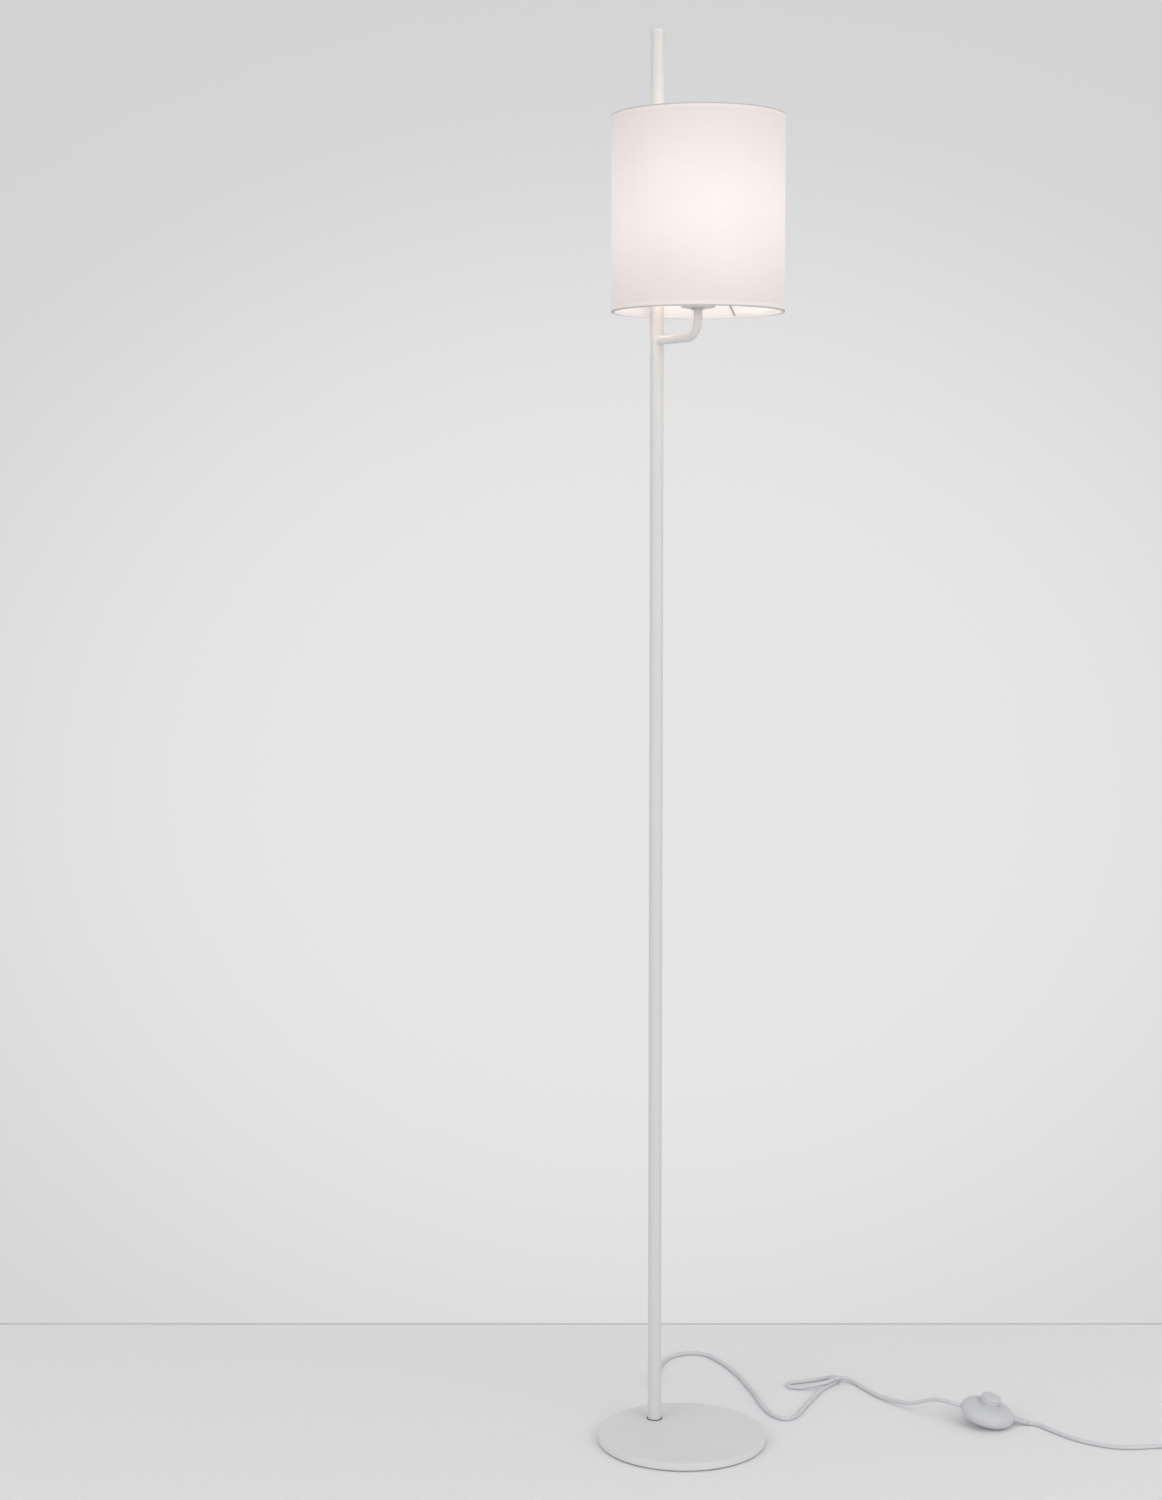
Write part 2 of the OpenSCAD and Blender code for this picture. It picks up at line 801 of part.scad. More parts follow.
// Upper sleeve with the outside thread that takes the shade rings
module holder_skirt() {
    seat_r = core_r + 0.2;
    collar = 3;
    color("whitesmoke")
        at_holder()
            rotate_extrude()
                polygon(concat(
                    [[seat_r, holder_cap_h], [holder_r, holder_cap_h]],
                    [[holder_r, holder_cap_h + collar]],
                    ridges(skirt_r, thread_depth, holder_cap_h + collar, holder_h - 1, thread_pitch),
                    [[skirt_r - thread_depth, holder_h], [skirt_lip_r, holder_h]],
                    [[skirt_lip_r, holder_h - 2], [skirt_bore_r, holder_h - 3]],
                    [[skirt_bore_r, skirt_ledge], [seat_r, skirt_ledge]]
                ));
}

// A shade ring: a flange that presses on the spider, and a hub with grip ribs
module shade_ring() {
    rib_n = 12;
    flange_r = shade_ring_d / 2;
    difference() {
        union() {
            cylinder(h = ring_flange_t, r = flange_r);
            cylinder(h = ring_flange_t + ring_hub_h, r = ring_hub_r);
            for (i = [0:rib_n - 1])
                rotate([0, 0, 360 * i / rib_n])
                    translate([ring_hub_r - 0.6, -0.75, 0])
                        cube([2, 1.5, ring_flange_t + ring_hub_h]);
        }
        translate([0, 0, -cut])
            cylinder(h = ring_flange_t + ring_hub_h + 2 * cut, r = ring_bore_r);
    }
}

module shade_ring_lower() {
    color("whitesmoke")
        at_holder()
            translate([0, 0, plate_z])
                rotate([180, 0, 0])
                    shade_ring();
}

module shade_ring_upper() {
    color("whitesmoke")
        at_holder()
            translate([0, 0, plate_top])
                shade_ring();
}

// ---- Bulb ----------------------------------------------------------------------------------

// Screw cap of the bulb
module bulb_cap() {
    color("silver")
        at_holder()
            rotate_extrude()
                polygon(concat(
                    [[0, bulb_z + cap_foot], [8, bulb_z + cap_foot]],
                    ridges(cap_r, 1, bulb_z + cap_foot + 1, bulb_neck - 1, 3.6),
                    [[cap_r - 0.5, bulb_neck], [0, bulb_neck]]
                ));
}

// Insulating foot and centre contact of the bulb
module bulb_contact() {
    color("gray")
        at_holder()
            rotate_extrude()
                polygon([
                    [0, bulb_z], [4, bulb_z], [4.8, bulb_z + 0.8],
                    [7.6, bulb_z + cap_foot], [0, bulb_z + cap_foot]
                ]);
}

// Opaque housing between the cap and the globe, flaring to the globe's width
module bulb_housing() {
    throat_r = 13.6;
    rim_r = bulb_r * cos(30) - 0.2;
    flare = [
        for (i = [0:8])
            let (t = i / 8, s = t * t * (3 - 2 * t))
            [throat_r + (rim_r - throat_r) * s, bulb_neck + (globe_low - bulb_neck) * t]
    ];
    color("whitesmoke")
        at_holder()
            rotate_extrude()
                polygon(concat([[0, bulb_neck]], flare, [[0, globe_low]]));
}

// Opal globe, a thin ball cut where it meets the housing
module bulb_globe() {
    inner_r = bulb_r - globe_wall;
    color("ivory")
        at_holder()
            rotate_extrude()
                polygon(concat(
                    arc([0, bulb_equator], bulb_r, -30, 90, 16),
                    arc([0, bulb_equator], inner_r, 90, -31.7, 16)
                ));
}

// ---- Shade ---------------------------------------------------------------------------------

// Cloth and lining: two thin drums, one inside the other, between the folds of the trims
module shade_wall(r, t) {
    at_shade()
        difference() {
            translate([0, 0, shade_z + trim_t + fit_gap])
                cylinder(h = shade_h - 2 * (trim_t + fit_gap), r = r);
            translate([0, 0, shade_z - cut])
                cylinder(h = shade_h + 2 * cut, r = r - t);
        }
}

module shade_cloth() {
    color("seashell")
        shade_wall(cloth_r, cloth_t);
}

module shade_lining() {
    color("white")
        shade_wall(lining_r, lining_t);
}

// Wire ring inside an edge of the shade
module wire_ring() {
    rotate_extrude()
        translate([wire_ring_r, 0])
            circle(wire_r, $fn = 32);
}

module shade_top_ring() {
    color("white")
        at_shade()
            translate([0, 0, shade_top - wire_edge - fit_gap])
                wire_ring();
}

// Lower wire ring, three rising arms and the centre ring that the shade rings clamp
module shade_spider() {
    color("white")
        at_shade()
            translate([0, 0, shade_z]) {
                translate([0, 0, wire_edge + fit_gap])
                    wire_ring();
                for (i = [0:2])
                    rotate([0, 0, spider_turn + 120 * i])
                        translate([wire_ring_r, 0, wire_edge + fit_gap])
                            rotate([0, -atan2(spider_run, spider_rise), 0])
                                cylinder(h = norm([spider_run, spider_rise]), r = arm_wire_r);
                translate([0, 0, spider_lift])
                    difference() {
                        cylinder(h = spider_t, r = spider_d / 2);
                        translate([0, 0, -cut])
                            cylinder(h = spider_t + 2 * cut, r = ring_bore_r + 0.3);
                    }
            }
}

// Tape folded round an edge of the shade, from the outside under the wall to the wire's inside
module shade_trim() {
    in_r = wire_ring_r - wire_r - fit_gap;
    rotate_extrude()
        polygon([
            [cloth_r + fit_gap, trim_w],
            [cloth_r + fit_gap, trim_t],
            [in_r, trim_t],
            [in_r, trim_fold],
            [in_r - trim_t, trim_fold],
            [in_r - trim_t, 0.2],
            [in_r - trim_t + 0.2, 0],
            [shade_r - 0.3, 0],
            [shade_r, 0.3],
            [shade_r, trim_w - 0.15],
            [shade_r - 0.15, trim_w]
        ]);
}

module shade_top_trim() {
    color("white")
        at_shade()
            translate([0, 0, shade_top])
                rotate([180, 0, 0])
                    shade_trim();
}

// The lower trim has three notches, where the spider's arms leave the ring
module shade_bottom_trim() {
    notch = wire_d + 4 * fit_gap;
    color("white")
        at_shade()
            translate([0, 0, shade_z])
                difference() {
                    shade_trim();
                    for (i = [0:2])
                        rotate([0, 0, spider_turn + 120 * i])
                            translate([wire_ring_r - wire_d - 2, -notch / 2, trim_t + fit_gap])
                                cube([wire_d + 2, notch, 2 * trim_fold]);
                }
}

// ---- Lead, foot switch, coil and plug ------------------------------------------------------

outlet_tip =
    [-pole_offset, 0, outlet_z] + turn_z([outlet_reach, 0, 0], outlet_dir);
switch_in = switch_point([-switch_r, 0, lead_h]);
switch_out = switch_point([switch_r + gland_l, 0, lead_h]);
switch_lead_in = switch_point([-switch_r - 2 * cord_d, 0, lead_h]);
switch_lead_out = switch_point([switch_r + gland_l + cord_r, 0, lead_h]);

// Points of the coil after s turns: in towards the middle on the floor, up a layer in the half
// turn where the spiral reverses, and out again on top
function ease(t) = let (u = min(1, max(0, t))) u * u * (3 - 2 * u);
function coil_point(s) =
    let (
        r = coil_r - turn_step * min(s, coil_turns - s),
        a = coil_start + 360 * s,
        lift = layer_step * ease((s - coil_turns / 2 + 0.25) / 0.5)
    )
    [coil_at.x + r * cos(a), coil_at.y + r * sin(a), coil_z + lift];
function coil_tangent(a) = [-sin(a), cos(a), 0];

coil_steps = coil_rings * coil_turns;
coil_in = coil_point(0) - cord_d * coil_tangent(coil_start);
coil_out = coil_point(coil_turns) + cord_d * coil_tangent(coil_start + 360 * coil_turns);
coil_path = concat(
    [coil_in],
    [for (i = [0:coil_steps]) coil_point(i / coil_rings)],
    [coil_out]
);

// Least gap between one turn's surface and another's, over all pairs of points
coil_gap = min([
    for (i = [0:len(coil_path) - 1], k = [i + coil_rings / 2:len(coil_path) - 1])
        norm(coil_path[i] - coil_path[k])
]) - cord_d;

plug_tip = [plug_at.x, plug_at.y, plug_z];
plug_way = turn_z([1, 0, 0], plug_turn);

path_to_switch = smooth(
    concat([outlet_tip], route_to_switch, [switch_lead_in, switch_in]), ring_step);
path_to_coil = smooth(
    concat([switch_out, switch_lead_out], route_to_coil, [coil_in]), ring_step);
path_to_plug = smooth(
    concat([coil_out], [plug_tip - 8 * plug_way, plug_tip]), ring_step);

echo(
    coil_gap = coil_gap,
    coil_length = path_length(coil_path),
    to_switch = path_length(path_to_switch),
    to_coil = path_length(path_to_coil),
    to_plug = path_length(path_to_plug),
    rings = len(path_to_switch) + len(path_to_coil) + len(path_to_plug)
);

module cord_to_switch() {
    color("whitesmoke")
        tube_along(path_to_switch, cord_r, cord_sides);
}

module cord_to_coil() {
    color("whitesmoke")
        tube_along(path_to_coil, cord_r, cord_sides);
}

module cord_coil() {
    color("whitesmoke")
        tube_along(coil_path, cord_r, coil_sides);
}

module cord_to_plug() {
    color("whitesmoke")
        tube_along(path_to_plug, cord_r, cord_sides);
}

// Strap round all the turns at one side of the coil
module coil_tie() {
    side = ((tie_turn - coil_start) % 360) / 360;
    r_out = coil_r - turn_step * side + cord_r + loose_gap;
    r_in = coil_r - turn_step * coil_turns / 2 - cord_r - loose_gap;
    low = coil_z - cord_r - tie_gap;
    high = coil_z + layer_step + cord_r + tie_gap;
    size = [r_out - r_in, high - low];
    color("lightgray")
        translate([coil_at.x, coil_at.y, 0])
            rotate([0, 0, tie_turn])
                translate([(r_out + r_in) / 2, tie_w / 2, (low + high) / 2])
                    rotate([90, 0, 0])
                        linear_extrude(tie_w)
                            difference() {
                                round_rect(size.x + 2 * tie_t, size.y + 2 * tie_t, 2.4);
                                round_rect(size.x, size.y, 1.8);
                            }
}

// The two holes where the lead enters and leaves the shells
module lead_holes() {
    translate([-switch_r - cut, 0, lead_h])
        rotate([0, 90, 0])
            cylinder(h = switch_r, r = cord_r + 2 * fit_gap);
    translate([cut, 0, lead_h])
        rotate([0, 90, 0])
            cylinder(h = switch_r, r = gland_root_r + fit_gap);
}

// Places of the three screws
screw_at = [for (i = [0:2]) turn_z([switch_r - 9, 0, 0], 90 + 120 * i)];

// Lower shell: a dish with screw bosses
module switch_base() {
    color("lavender")
        at_switch()
            difference() {
                union() {
                    rotate_extrude()
                        polygon([
                            [0, 0], [switch_foot_r - foot_bevel, 0], [switch_foot_r, 0.3],
                            [switch_r - 1, 3.6], [switch_r - 0.2, 5.6],
                            [switch_r, switch_base_h - seam],
                            [switch_r - 0.8 * seam, switch_base_h],
                            [switch_r - switch_wall, switch_base_h],
                            [switch_r - switch_wall - 1, switch_floor + 1.6],
                            [switch_r - switch_wall - 3, switch_floor],
                            [0, switch_floor]
                        ]);
                    for (p = screw_at)
                        translate(p)
                            cylinder(h = switch_base_h, r = screw_boss_r);
                }
                lead_holes();
                for (p = screw_at)
                    translate(p) {
                        translate([0, 0, -cut])
                            cylinder(h = 2 * switch_base_h, r = tap_r + loose_gap);
                        translate([0, 0, -cut])
                            cylinder(h = screw_sink + cut, r = 2.9);
                    }
            }
}

// Domed upper shell with the collar that guides the button, and bosses for the screws
module switch_cover() {
    dome_run = switch_r - 0.4 - collar_r;
    dome_rise = switch_h - shoulder;
    function dome(t) = [collar_r + dome_run * cos(t), shoulder + dome_rise * sin(t)];
    outer = [for (i = [0:9]) dome(10 * i)];
    inner = [for (i = [0:8]) let (t = 85 - 85 * i / 8)
        [
            collar_r + (dome_run - switch_wall) * cos(t),
            shoulder + (dome_rise - switch_wall) * sin(t)
        ]
    ];
    color("lavender")
        at_switch()
            difference() {
                union() {
                    rotate_extrude()
                        polygon(concat(
                            [
                                [switch_r - switch_wall, switch_base_h],
                                [switch_r - 0.8 * seam, switch_base_h],
                                [switch_r, switch_base_h + seam]
                            ],
                            outer,
                            [
                                [collar_r, switch_h + 0.3],
                                [collar_r - 0.3, switch_h + 0.6],
                                [button_hole_r, switch_h + 0.6],
                                [button_hole_r, collar_low],
                                [collar_r, collar_low]
                            ],
                            inner
                        ));
                    for (p = screw_at)
                        translate([p.x, p.y, switch_base_h])
                            cylinder(h = boss_top(norm(p)) - switch_base_h, r = screw_boss_r);
                }
                lead_holes();
                for (p = screw_at)
                    translate([p.x, p.y, switch_base_h - cut])
                        cylinder(h = screw_in + cut, r = tap_r + fit_gap);
            }
}

// Height at which a boss at radius r ends inside the dome's wall
function boss_top(r) =
    let (
        u = min(1, (r + screw_boss_r - collar_r) / (switch_r - 0.4 - collar_r - 0.6))
    )
    shoulder + (switch_h - shoulder - 0.9) * sqrt(1 - u * u);

// Round push button: a domed head, a flange that stops under the collar and a stem
module switch_button() {
    edge = 1.6;
    crown = 0.6;
    r = button_r;
    color("lavender")
        at_switch()
            rotate_extrude()
                polygon(concat(
                    [[0, stem_low], [stem_r, stem_low], [stem_r, button_top - button_wall]],
                    [[r - button_wall, button_top - button_wall]],
                    [[r - button_wall, button_low]],
                    [[collar_r - 0.3, button_low], [collar_r - 0.3, button_low + button_flange_t]],
                    [[r, button_low + button_flange_t]],
                    arc([r - edge, button_top - crown - edge], edge, 0, 80, 5),
                    [[0, button_top]]
                ));
}

// Return spring round the stem, between the switch block and the button
module switch_spring() {
    low = module_top + spring_wire_r + fit_gap;
    high = button_top - button_wall - spring_wire_r - fit_gap;
    steps = 10 * spring_turns;
    helix = [
        for (i = [0:steps])
            let (a = 360 * i / 10)
            [spring_r * cos(a), spring_r * sin(a), low + (high - low) * i / steps]
    ];
    color("silver")
        at_switch()
            tube_along(helix, spring_wire_r, 5);
}

// Latching switch block with a well that takes the button's stem
module switch_module() {
    color("dimgray")
        at_switch()
            difference() {
                translate([-module_size.x / 2, -module_size.y / 2, switch_floor])
                    cube([module_size.x, module_size.y, module_top - switch_floor]);
                translate([0, 0, stem_low - button_travel - 1])
                    cylinder(h = module_top, r = stem_r + loose_gap);
                for (side = [-1, 1], row = [-1, 1])
                    translate([side * contact_at.x, row * contact_at.y, module_top - 3])
                        cylinder(h = 4, r = contact_r + fit_gap);
            }
}

// Four brass contacts standing in the switch block
module switch_contacts() {
    color("gold")
        at_switch()
            for (side = [-1, 1], row = [-1, 1])
                translate([side * contact_at.x, row * contact_at.y, module_top - 3])
                    cylinder(h = 2.8, r = contact_r);
}

// Two bars that press the lead down where it enters and leaves
module switch_clamps() {
    leg = 2.4;
    color("whitesmoke")
        at_switch()
            for (side = [-1, 1])
                translate([side * clamp_x - clamp_size.x / 2, -clamp_size.y / 2, 0]) {
                    translate([0, 0, lead_h + cord_r + fit_gap])
                        cube(clamp_size);
                    for (y = [0, clamp_size.y - leg])
                        translate([0, y, switch_floor])
                            cube([clamp_size.x, leg, lead_h + cord_r - switch_floor + 1]);
                }
}

// Three countersunk tapping screws from below
module switch_screws() {
    head_h = 1.5;
    color("silver")
        at_switch()
            for (p = screw_at)
                translate([p.x, p.y, screw_sink - head_h]) {
                    cylinder(h = head_h, r = 2.6);
                    cylinder(h = switch_base_h - screw_sink + head_h + screw_in - 0.5, r = tap_r);
                }
}

// Tapered ribbed sleeve on the plug's side of the switch
module switch_gland() {
    flange_t = 1.2;
    flange_x = switch_r - switch_wall - flange_t - fit_gap;
    color("lavender")
        at_switch()
            translate([0, 0, lead_h])
                rotate([0, 90, 0])
                    rotate_extrude()
                        polygon(concat(
                            [[cord_bore_r, flange_x - 2.2], [gland_root_r + 1.2, flange_x - 2.2]],
                            [[gland_root_r + 1.2, flange_x - 1], [gland_root_r, flange_x - 1]],
                            sleeve_edge(
                                gland_root_r, gland_tip_r,
                                switch_r + 0.5, switch_r + gland_l, 0.45, 4
                            ),
                            [[cord_bore_r, switch_r + gland_l]]
                        ));
}

// The lead inside the switch: its two ends, and the cores that run to the contacts
module switch_leads() {
    core_r = 0.9;
    stub_in = clamp_x - 5;
    ends = [[-1, switch_r], [1, switch_r + gland_l]];
    color("whitesmoke")
        at_switch()
            for (e = ends) {
                translate([e[0] > 0 ? stub_in : -e[1], 0, lead_h])
                    rotate([0, 90, 0])
                        cylinder(h = e[1] - stub_in, r = cord_r);
                for (row = [-1, 1])
                    translate([e[0] > 0 ? module_size.x / 2 + fit_gap : -stub_in - eps,
                               row * 1.2, lead_h - 1])
                        rotate([0, 90, 0])
                            cylinder(h = stub_in - module_size.x / 2 - fit_gap + eps, r = core_r);
            }
}

// Moulded two-pin plug: a flat rounded body that narrows to a ribbed sleeve
module plug_body() {
    neck = [17, 11];
    color("whitesmoke")
        translate(plug_tip)
            rotate([0, 0, plug_turn])
                difference() {
                    union() {
                        rotate([0, 90, 0])
                            rotate_extrude()
                                polygon(concat(
                                    [[cord_bore_r, 0]],
                                    sleeve_edge(plug_tip_r, plug_neck_r, 0, plug_sleeve, 0.5, 5),
                                    [[cord_bore_r, plug_sleeve + 2]]
                                ));
                        hull() {
                            plug_slice(plug_sleeve, neck.x, neck.y);
                            plug_slice(plug_sleeve + 12, 28, plug_t - 1);
                            plug_slice(plug_sleeve + plug_l - 12, plug_w, plug_t);
                            plug_slice(plug_sleeve + plug_l - 1.6, plug_w, plug_t);
                            plug_slice(plug_sleeve + plug_l - 1, plug_w - 1.4, plug_t - 1.4);
                        }
                    }
                    for (side = [-1, 1])
                        translate([plug_sleeve + plug_l - pin_in, side * pin_gap / 2, 0])
                            rotate([0, 90, 0])
                                cylinder(h = pin_in + cut, r = pin_r + fit_gap);
                    translate([-cut, 0, 0])
                        rotate([0, 90, 0])
                            cylinder(h = plug_sleeve + 2 * cut, r = cord_bore_r);
                }
}

// A thin slice of the plug's body, square to its axis
module plug_slice(x, w, t) {
    translate([x, 0, 0])
        rotate([90, 0, 90])
            linear_extrude(1)
                hull()
                    for (side = [-1, 1])
                        translate([side * (w - t) / 2, 0])
                            circle(t / 2, $fn = 32);
}

// Two round pins, each with a domed tip
module plug_pins() {
    tip = 0.8;
    color("silver")
        translate(plug_tip)
            rotate([0, 0, plug_turn])
                for (side = [-1, 1])
                    translate([plug_sleeve + plug_l - pin_in, side * pin_gap / 2, 0])
                        rotate([0, 90, 0])
                            rotate_extrude()
                                polygon([
                                    [0, 0], [pin_r, 0],
                                    [pin_r, pin_in],
                                    [pin_r - 0.25, pin_in + fit_gap],
                                    [pin_r - 0.25, pin_in + pin_sleeve_l],
                                    [pin_r, pin_in + pin_sleeve_l + fit_gap],
                                    [pin_r, pin_in + pin_l - tip],
                                    [pin_r - tip, pin_in + pin_l],
                                    [0, pin_in + pin_l]
                                ]);
}

// Insulating sleeves on the roots of the pins
module plug_pin_sleeves() {
    color("whitesmoke")
        translate(plug_tip)
            rotate([0, 0, plug_turn])
                for (side = [-1, 1])
                    translate([plug_sleeve + plug_l + fit_gap, side * pin_gap / 2, 0])
                        rotate([0, 90, 0])
                            difference() {
                                cylinder(h = pin_sleeve_l - 2 * fit_gap, r = pin_r - 0.02);
                                translate([0, 0, -cut])
                                    cylinder(h = pin_sleeve_l + 2 * cut, r = pin_r - 0.2);
                            }
}

// ---- Nodes ---------------------------------------------------------------------------------

base_disc();
base_pad();
base_screw();
foot_pin();
foot_insert();
foot_ring();
pole_tube();
pole_cap();
arm_tube();
cable_outlet();
inner_cable();
lock_nut();
holder_cap();
holder_core();
holder_terminals();
holder_contact();
holder_thread_shell();
holder_skirt();
shade_ring_lower();
shade_ring_upper();
bulb_cap();
bulb_contact();
bulb_housing();
bulb_globe();
shade_cloth();
shade_lining();
shade_top_ring();
shade_spider();
shade_top_trim();
shade_bottom_trim();
cord_to_switch();
switch_base();
switch_cover();
switch_button();
switch_spring();
switch_module();
switch_contacts();
switch_clamps();
switch_screws();
switch_gland();
switch_leads();
cord_to_coil();
cord_coil();
coil_tie();
cord_to_plug();
plug_body();
plug_pins();
plug_pin_sleeves();
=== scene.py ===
import math
import bmesh
import bpy
import numpy as np
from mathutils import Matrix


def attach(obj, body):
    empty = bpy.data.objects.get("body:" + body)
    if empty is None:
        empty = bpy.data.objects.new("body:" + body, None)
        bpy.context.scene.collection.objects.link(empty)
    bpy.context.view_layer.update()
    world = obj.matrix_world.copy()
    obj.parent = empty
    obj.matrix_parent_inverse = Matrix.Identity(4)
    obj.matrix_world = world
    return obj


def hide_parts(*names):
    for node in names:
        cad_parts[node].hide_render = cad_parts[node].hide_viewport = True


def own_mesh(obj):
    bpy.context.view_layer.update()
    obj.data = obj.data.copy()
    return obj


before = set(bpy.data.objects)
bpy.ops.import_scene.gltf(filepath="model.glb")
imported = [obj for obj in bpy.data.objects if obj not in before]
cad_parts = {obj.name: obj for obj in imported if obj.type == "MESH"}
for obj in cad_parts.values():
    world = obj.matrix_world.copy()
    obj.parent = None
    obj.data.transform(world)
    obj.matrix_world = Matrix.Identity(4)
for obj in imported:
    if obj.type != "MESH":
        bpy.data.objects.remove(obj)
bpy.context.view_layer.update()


# ---------------------------------------------------------------- Camera
# The camera stands about 2.9 m in front of the lamp and a little to the left of it, at chest
# height, and looks slightly down. The lens is shifted, so that its axis meets the picture a
# little above the middle.
long_side_px, focal_px, axis_px, sensor_mm = 1500, 2496.0, 707.8, 36.0
camera_pitch, camera_turn = math.radians(90 - 4.4555), math.radians(55.771)
camera_data = bpy.data.cameras.new("camera")
camera_data.sensor_width = sensor_mm
camera_data.lens = focal_px * sensor_mm / long_side_px
camera_data.shift_y = (axis_px - long_side_px / 2) / long_side_px
camera_data.clip_start = 0.05
camera_data.clip_end = 60.0
camera = bpy.data.objects.new("camera", camera_data)
camera.location = (2.3417, -1.7393, 1.1078)
camera.rotation_euler = (camera_pitch, 0.0, camera_turn)
bpy.context.scene.collection.objects.link(camera)
bpy.context.scene.camera = camera


# ---------------------------------------------------------------- Floor and studio light
# A pale, smooth floor that ends 39 cm behind the pole, with a plain pale surround beyond it, and
# soft light from every side: a large lamp at the upper right, a weaker one at the left.
def surface(name, points, around=False, along=False, uv=None):
    """One mesh from a grid of points, shape (rows, columns, 3): each four neighbours make a face.
    around joins the last column to the first, along the last row to the first; rows that shrink
    to a point are merged there, and edges bent by more than 40 degrees stay sharp. uv holds the
    place of each grid point on the flat material, and with around it has one column more, so
    that both sides of the seam keep their own value."""
    rows, columns = points.shape[:2]
    i = np.arange(rows if along else rows - 1)[:, None]
    j = np.arange(columns if around else columns - 1)[None, :]
    steps = ((0, 0), (0, 1), (1, 1), (1, 0))
    faces = np.stack([(i + a) % rows * columns + (j + b) % columns for a, b in steps], -1)
    mesh = bpy.data.meshes.new(name)
    mesh.from_pydata(points.reshape(-1, 3).tolist(), [], faces.reshape(-1, 4).tolist())
    if uv is not None:
        flat = np.stack([uv[(i + a), (j + b)] for a, b in steps], -2)
        mesh.uv_layers.new(name="sheet").data.foreach_set("uv", flat.astype(np.float32).ravel())
    build = bmesh.new()
    build.from_mesh(mesh)
    bmesh.ops.remove_doubles(build, verts=build.verts, dist=1e-6)
    build.to_mesh(mesh)
    build.free()
    mesh.shade_smooth()
    mesh.set_sharp_from_angle(angle=math.radians(40.0))
    piece = bpy.data.objects.new(name, mesh)
    bpy.context.scene.collection.objects.link(piece)
    return piece


def principled(name, **values):
    """A new material, its node tree and its Principled shader, with plain numbers and colours set
    directly on the shader's sockets."""
    made = bpy.data.materials.new(name)
    made.use_nodes = True
    shader = made.node_tree.nodes["Principled BSDF"]
    for socket, value in values.items():
        shader.inputs[socket.replace("_", " ")].default_value = value
    return made, made.node_tree, shader


def give(piece, made):
    """Puts a material on a piece."""
    piece.data.materials.clear()
    piece.data.materials.append(made)


def node(tree, kind, values=(), **settings):
    """One shader node, with its settings and its unlinked input values by name or number."""
    made = tree.nodes.new("ShaderNode" + kind)
    for key, value in settings.items():
        setattr(made, key, value)
    for key, value in dict(values).items():
        made.inputs[key].default_value = value
    return made


def wire(tree, *links):
    """Links shader nodes: each link says a node, its output, the next node and its input."""
    for source, outlet, target, inlet in links:
        tree.links.new(source.outputs[outlet], target.inputs[inlet])


toward_camera = np.array([math.sin(camera_turn), -math.cos(camera_turn), 0.0])
rightward = np.array([-toward_camera[1], toward_camera[0], 0.0])
pole_foot = np.array([-0.056, 0.0, 0.0])
floor_near, floor_far, floor_side = 7.0, -0.3875, 6.0
floor_rows = np.array([floor_far, 0.5, 2.0, floor_near])[:, None, None]
floor_columns = np.array([-floor_side, -2.0, 0.0, 2.0, floor_side])[None, :, None]
floor_points = pole_foot + floor_rows * toward_camera + floor_columns * rightward
floor = surface("floor", floor_points[:, ::-1])
floor_finish, tree, shader = principled("floor_finish", Roughness=0.75, Specular_IOR_Level=0.2)
# Painted shade: a fine grey line where the floor ends, as in the corner of floor and wall, which
# fades into the floor's own tone
floor_end = floor_far + float(pole_foot @ toward_camera)
corner_shade_w, corner_shade_fade_w = 0.002, 0.008
spot = node(tree, "TexCoord")
back = node(tree, "VectorMath", {1: toward_camera.tolist()}, operation="DOT_PRODUCT")
painted_corner_shade = node(tree, "MapRange", {"From Min": floor_end + corner_shade_w,
                               "From Max": floor_end + corner_shade_fade_w})
floor_tone_and_corner_shade = node(tree, "Mix", {"A": (0.50, 0.50, 0.505, 1.0), "B": (0.79, 0.79, 0.79, 1.0)},
                  data_type="RGBA")
wire(tree, (spot, "Object", back, 0), (back, "Value", painted_corner_shade, "Value"),
     (painted_corner_shade, "Result", floor_tone_and_corner_shade, "Factor"), (floor_tone_and_corner_shade, "Result", shader, "Base Color"))
give(floor, floor_finish)

world = bpy.data.worlds.new("surround")
bpy.context.scene.world = world
world.use_nodes = True
sky = world.node_tree
seen = node(sky, "Background", {"Strength": 1.0})
# Painted shade on the surround: it is lightest behind the middle of the lamp and a little darker
# away from it
way_seen = node(sky, "TexCoord")
off_middle = node(sky, "Mapping", {"Location": (0.013, 0.020, -0.107),
                                   "Rotation": (0.0, 0.0, camera_turn),
                                   "Scale": (0.37, 1000.0, 0.30)}, vector_type="TEXTURE")
distance = node(sky, "VectorMath", operation="LENGTH")
painted_wall_shade = node(sky, "MapRange", {"From Min": 0.35, "From Max": 1.1},
                   interpolation_type="SMOOTHSTEP")
wall_tone_and_shade = node(sky, "Mix", {"A": (0.790, 0.790, 0.790, 1.0), "B": (0.65, 0.65, 0.655, 1.0)},
                 data_type="RGBA")
wire(sky, (way_seen, "Generated", off_middle, "Vector"), (off_middle, "Vector", distance, 0),
     (distance, "Value", painted_wall_shade, "Value"), (painted_wall_shade, "Result", wall_tone_and_shade, "Factor"),
     (wall_tone_and_shade, "Result", seen, "Color"))
light = sky.nodes["Background"]
light.inputs["Color"].default_value = (0.98, 0.985, 1.0, 1.0)
light.inputs["Strength"].default_value = 0.74
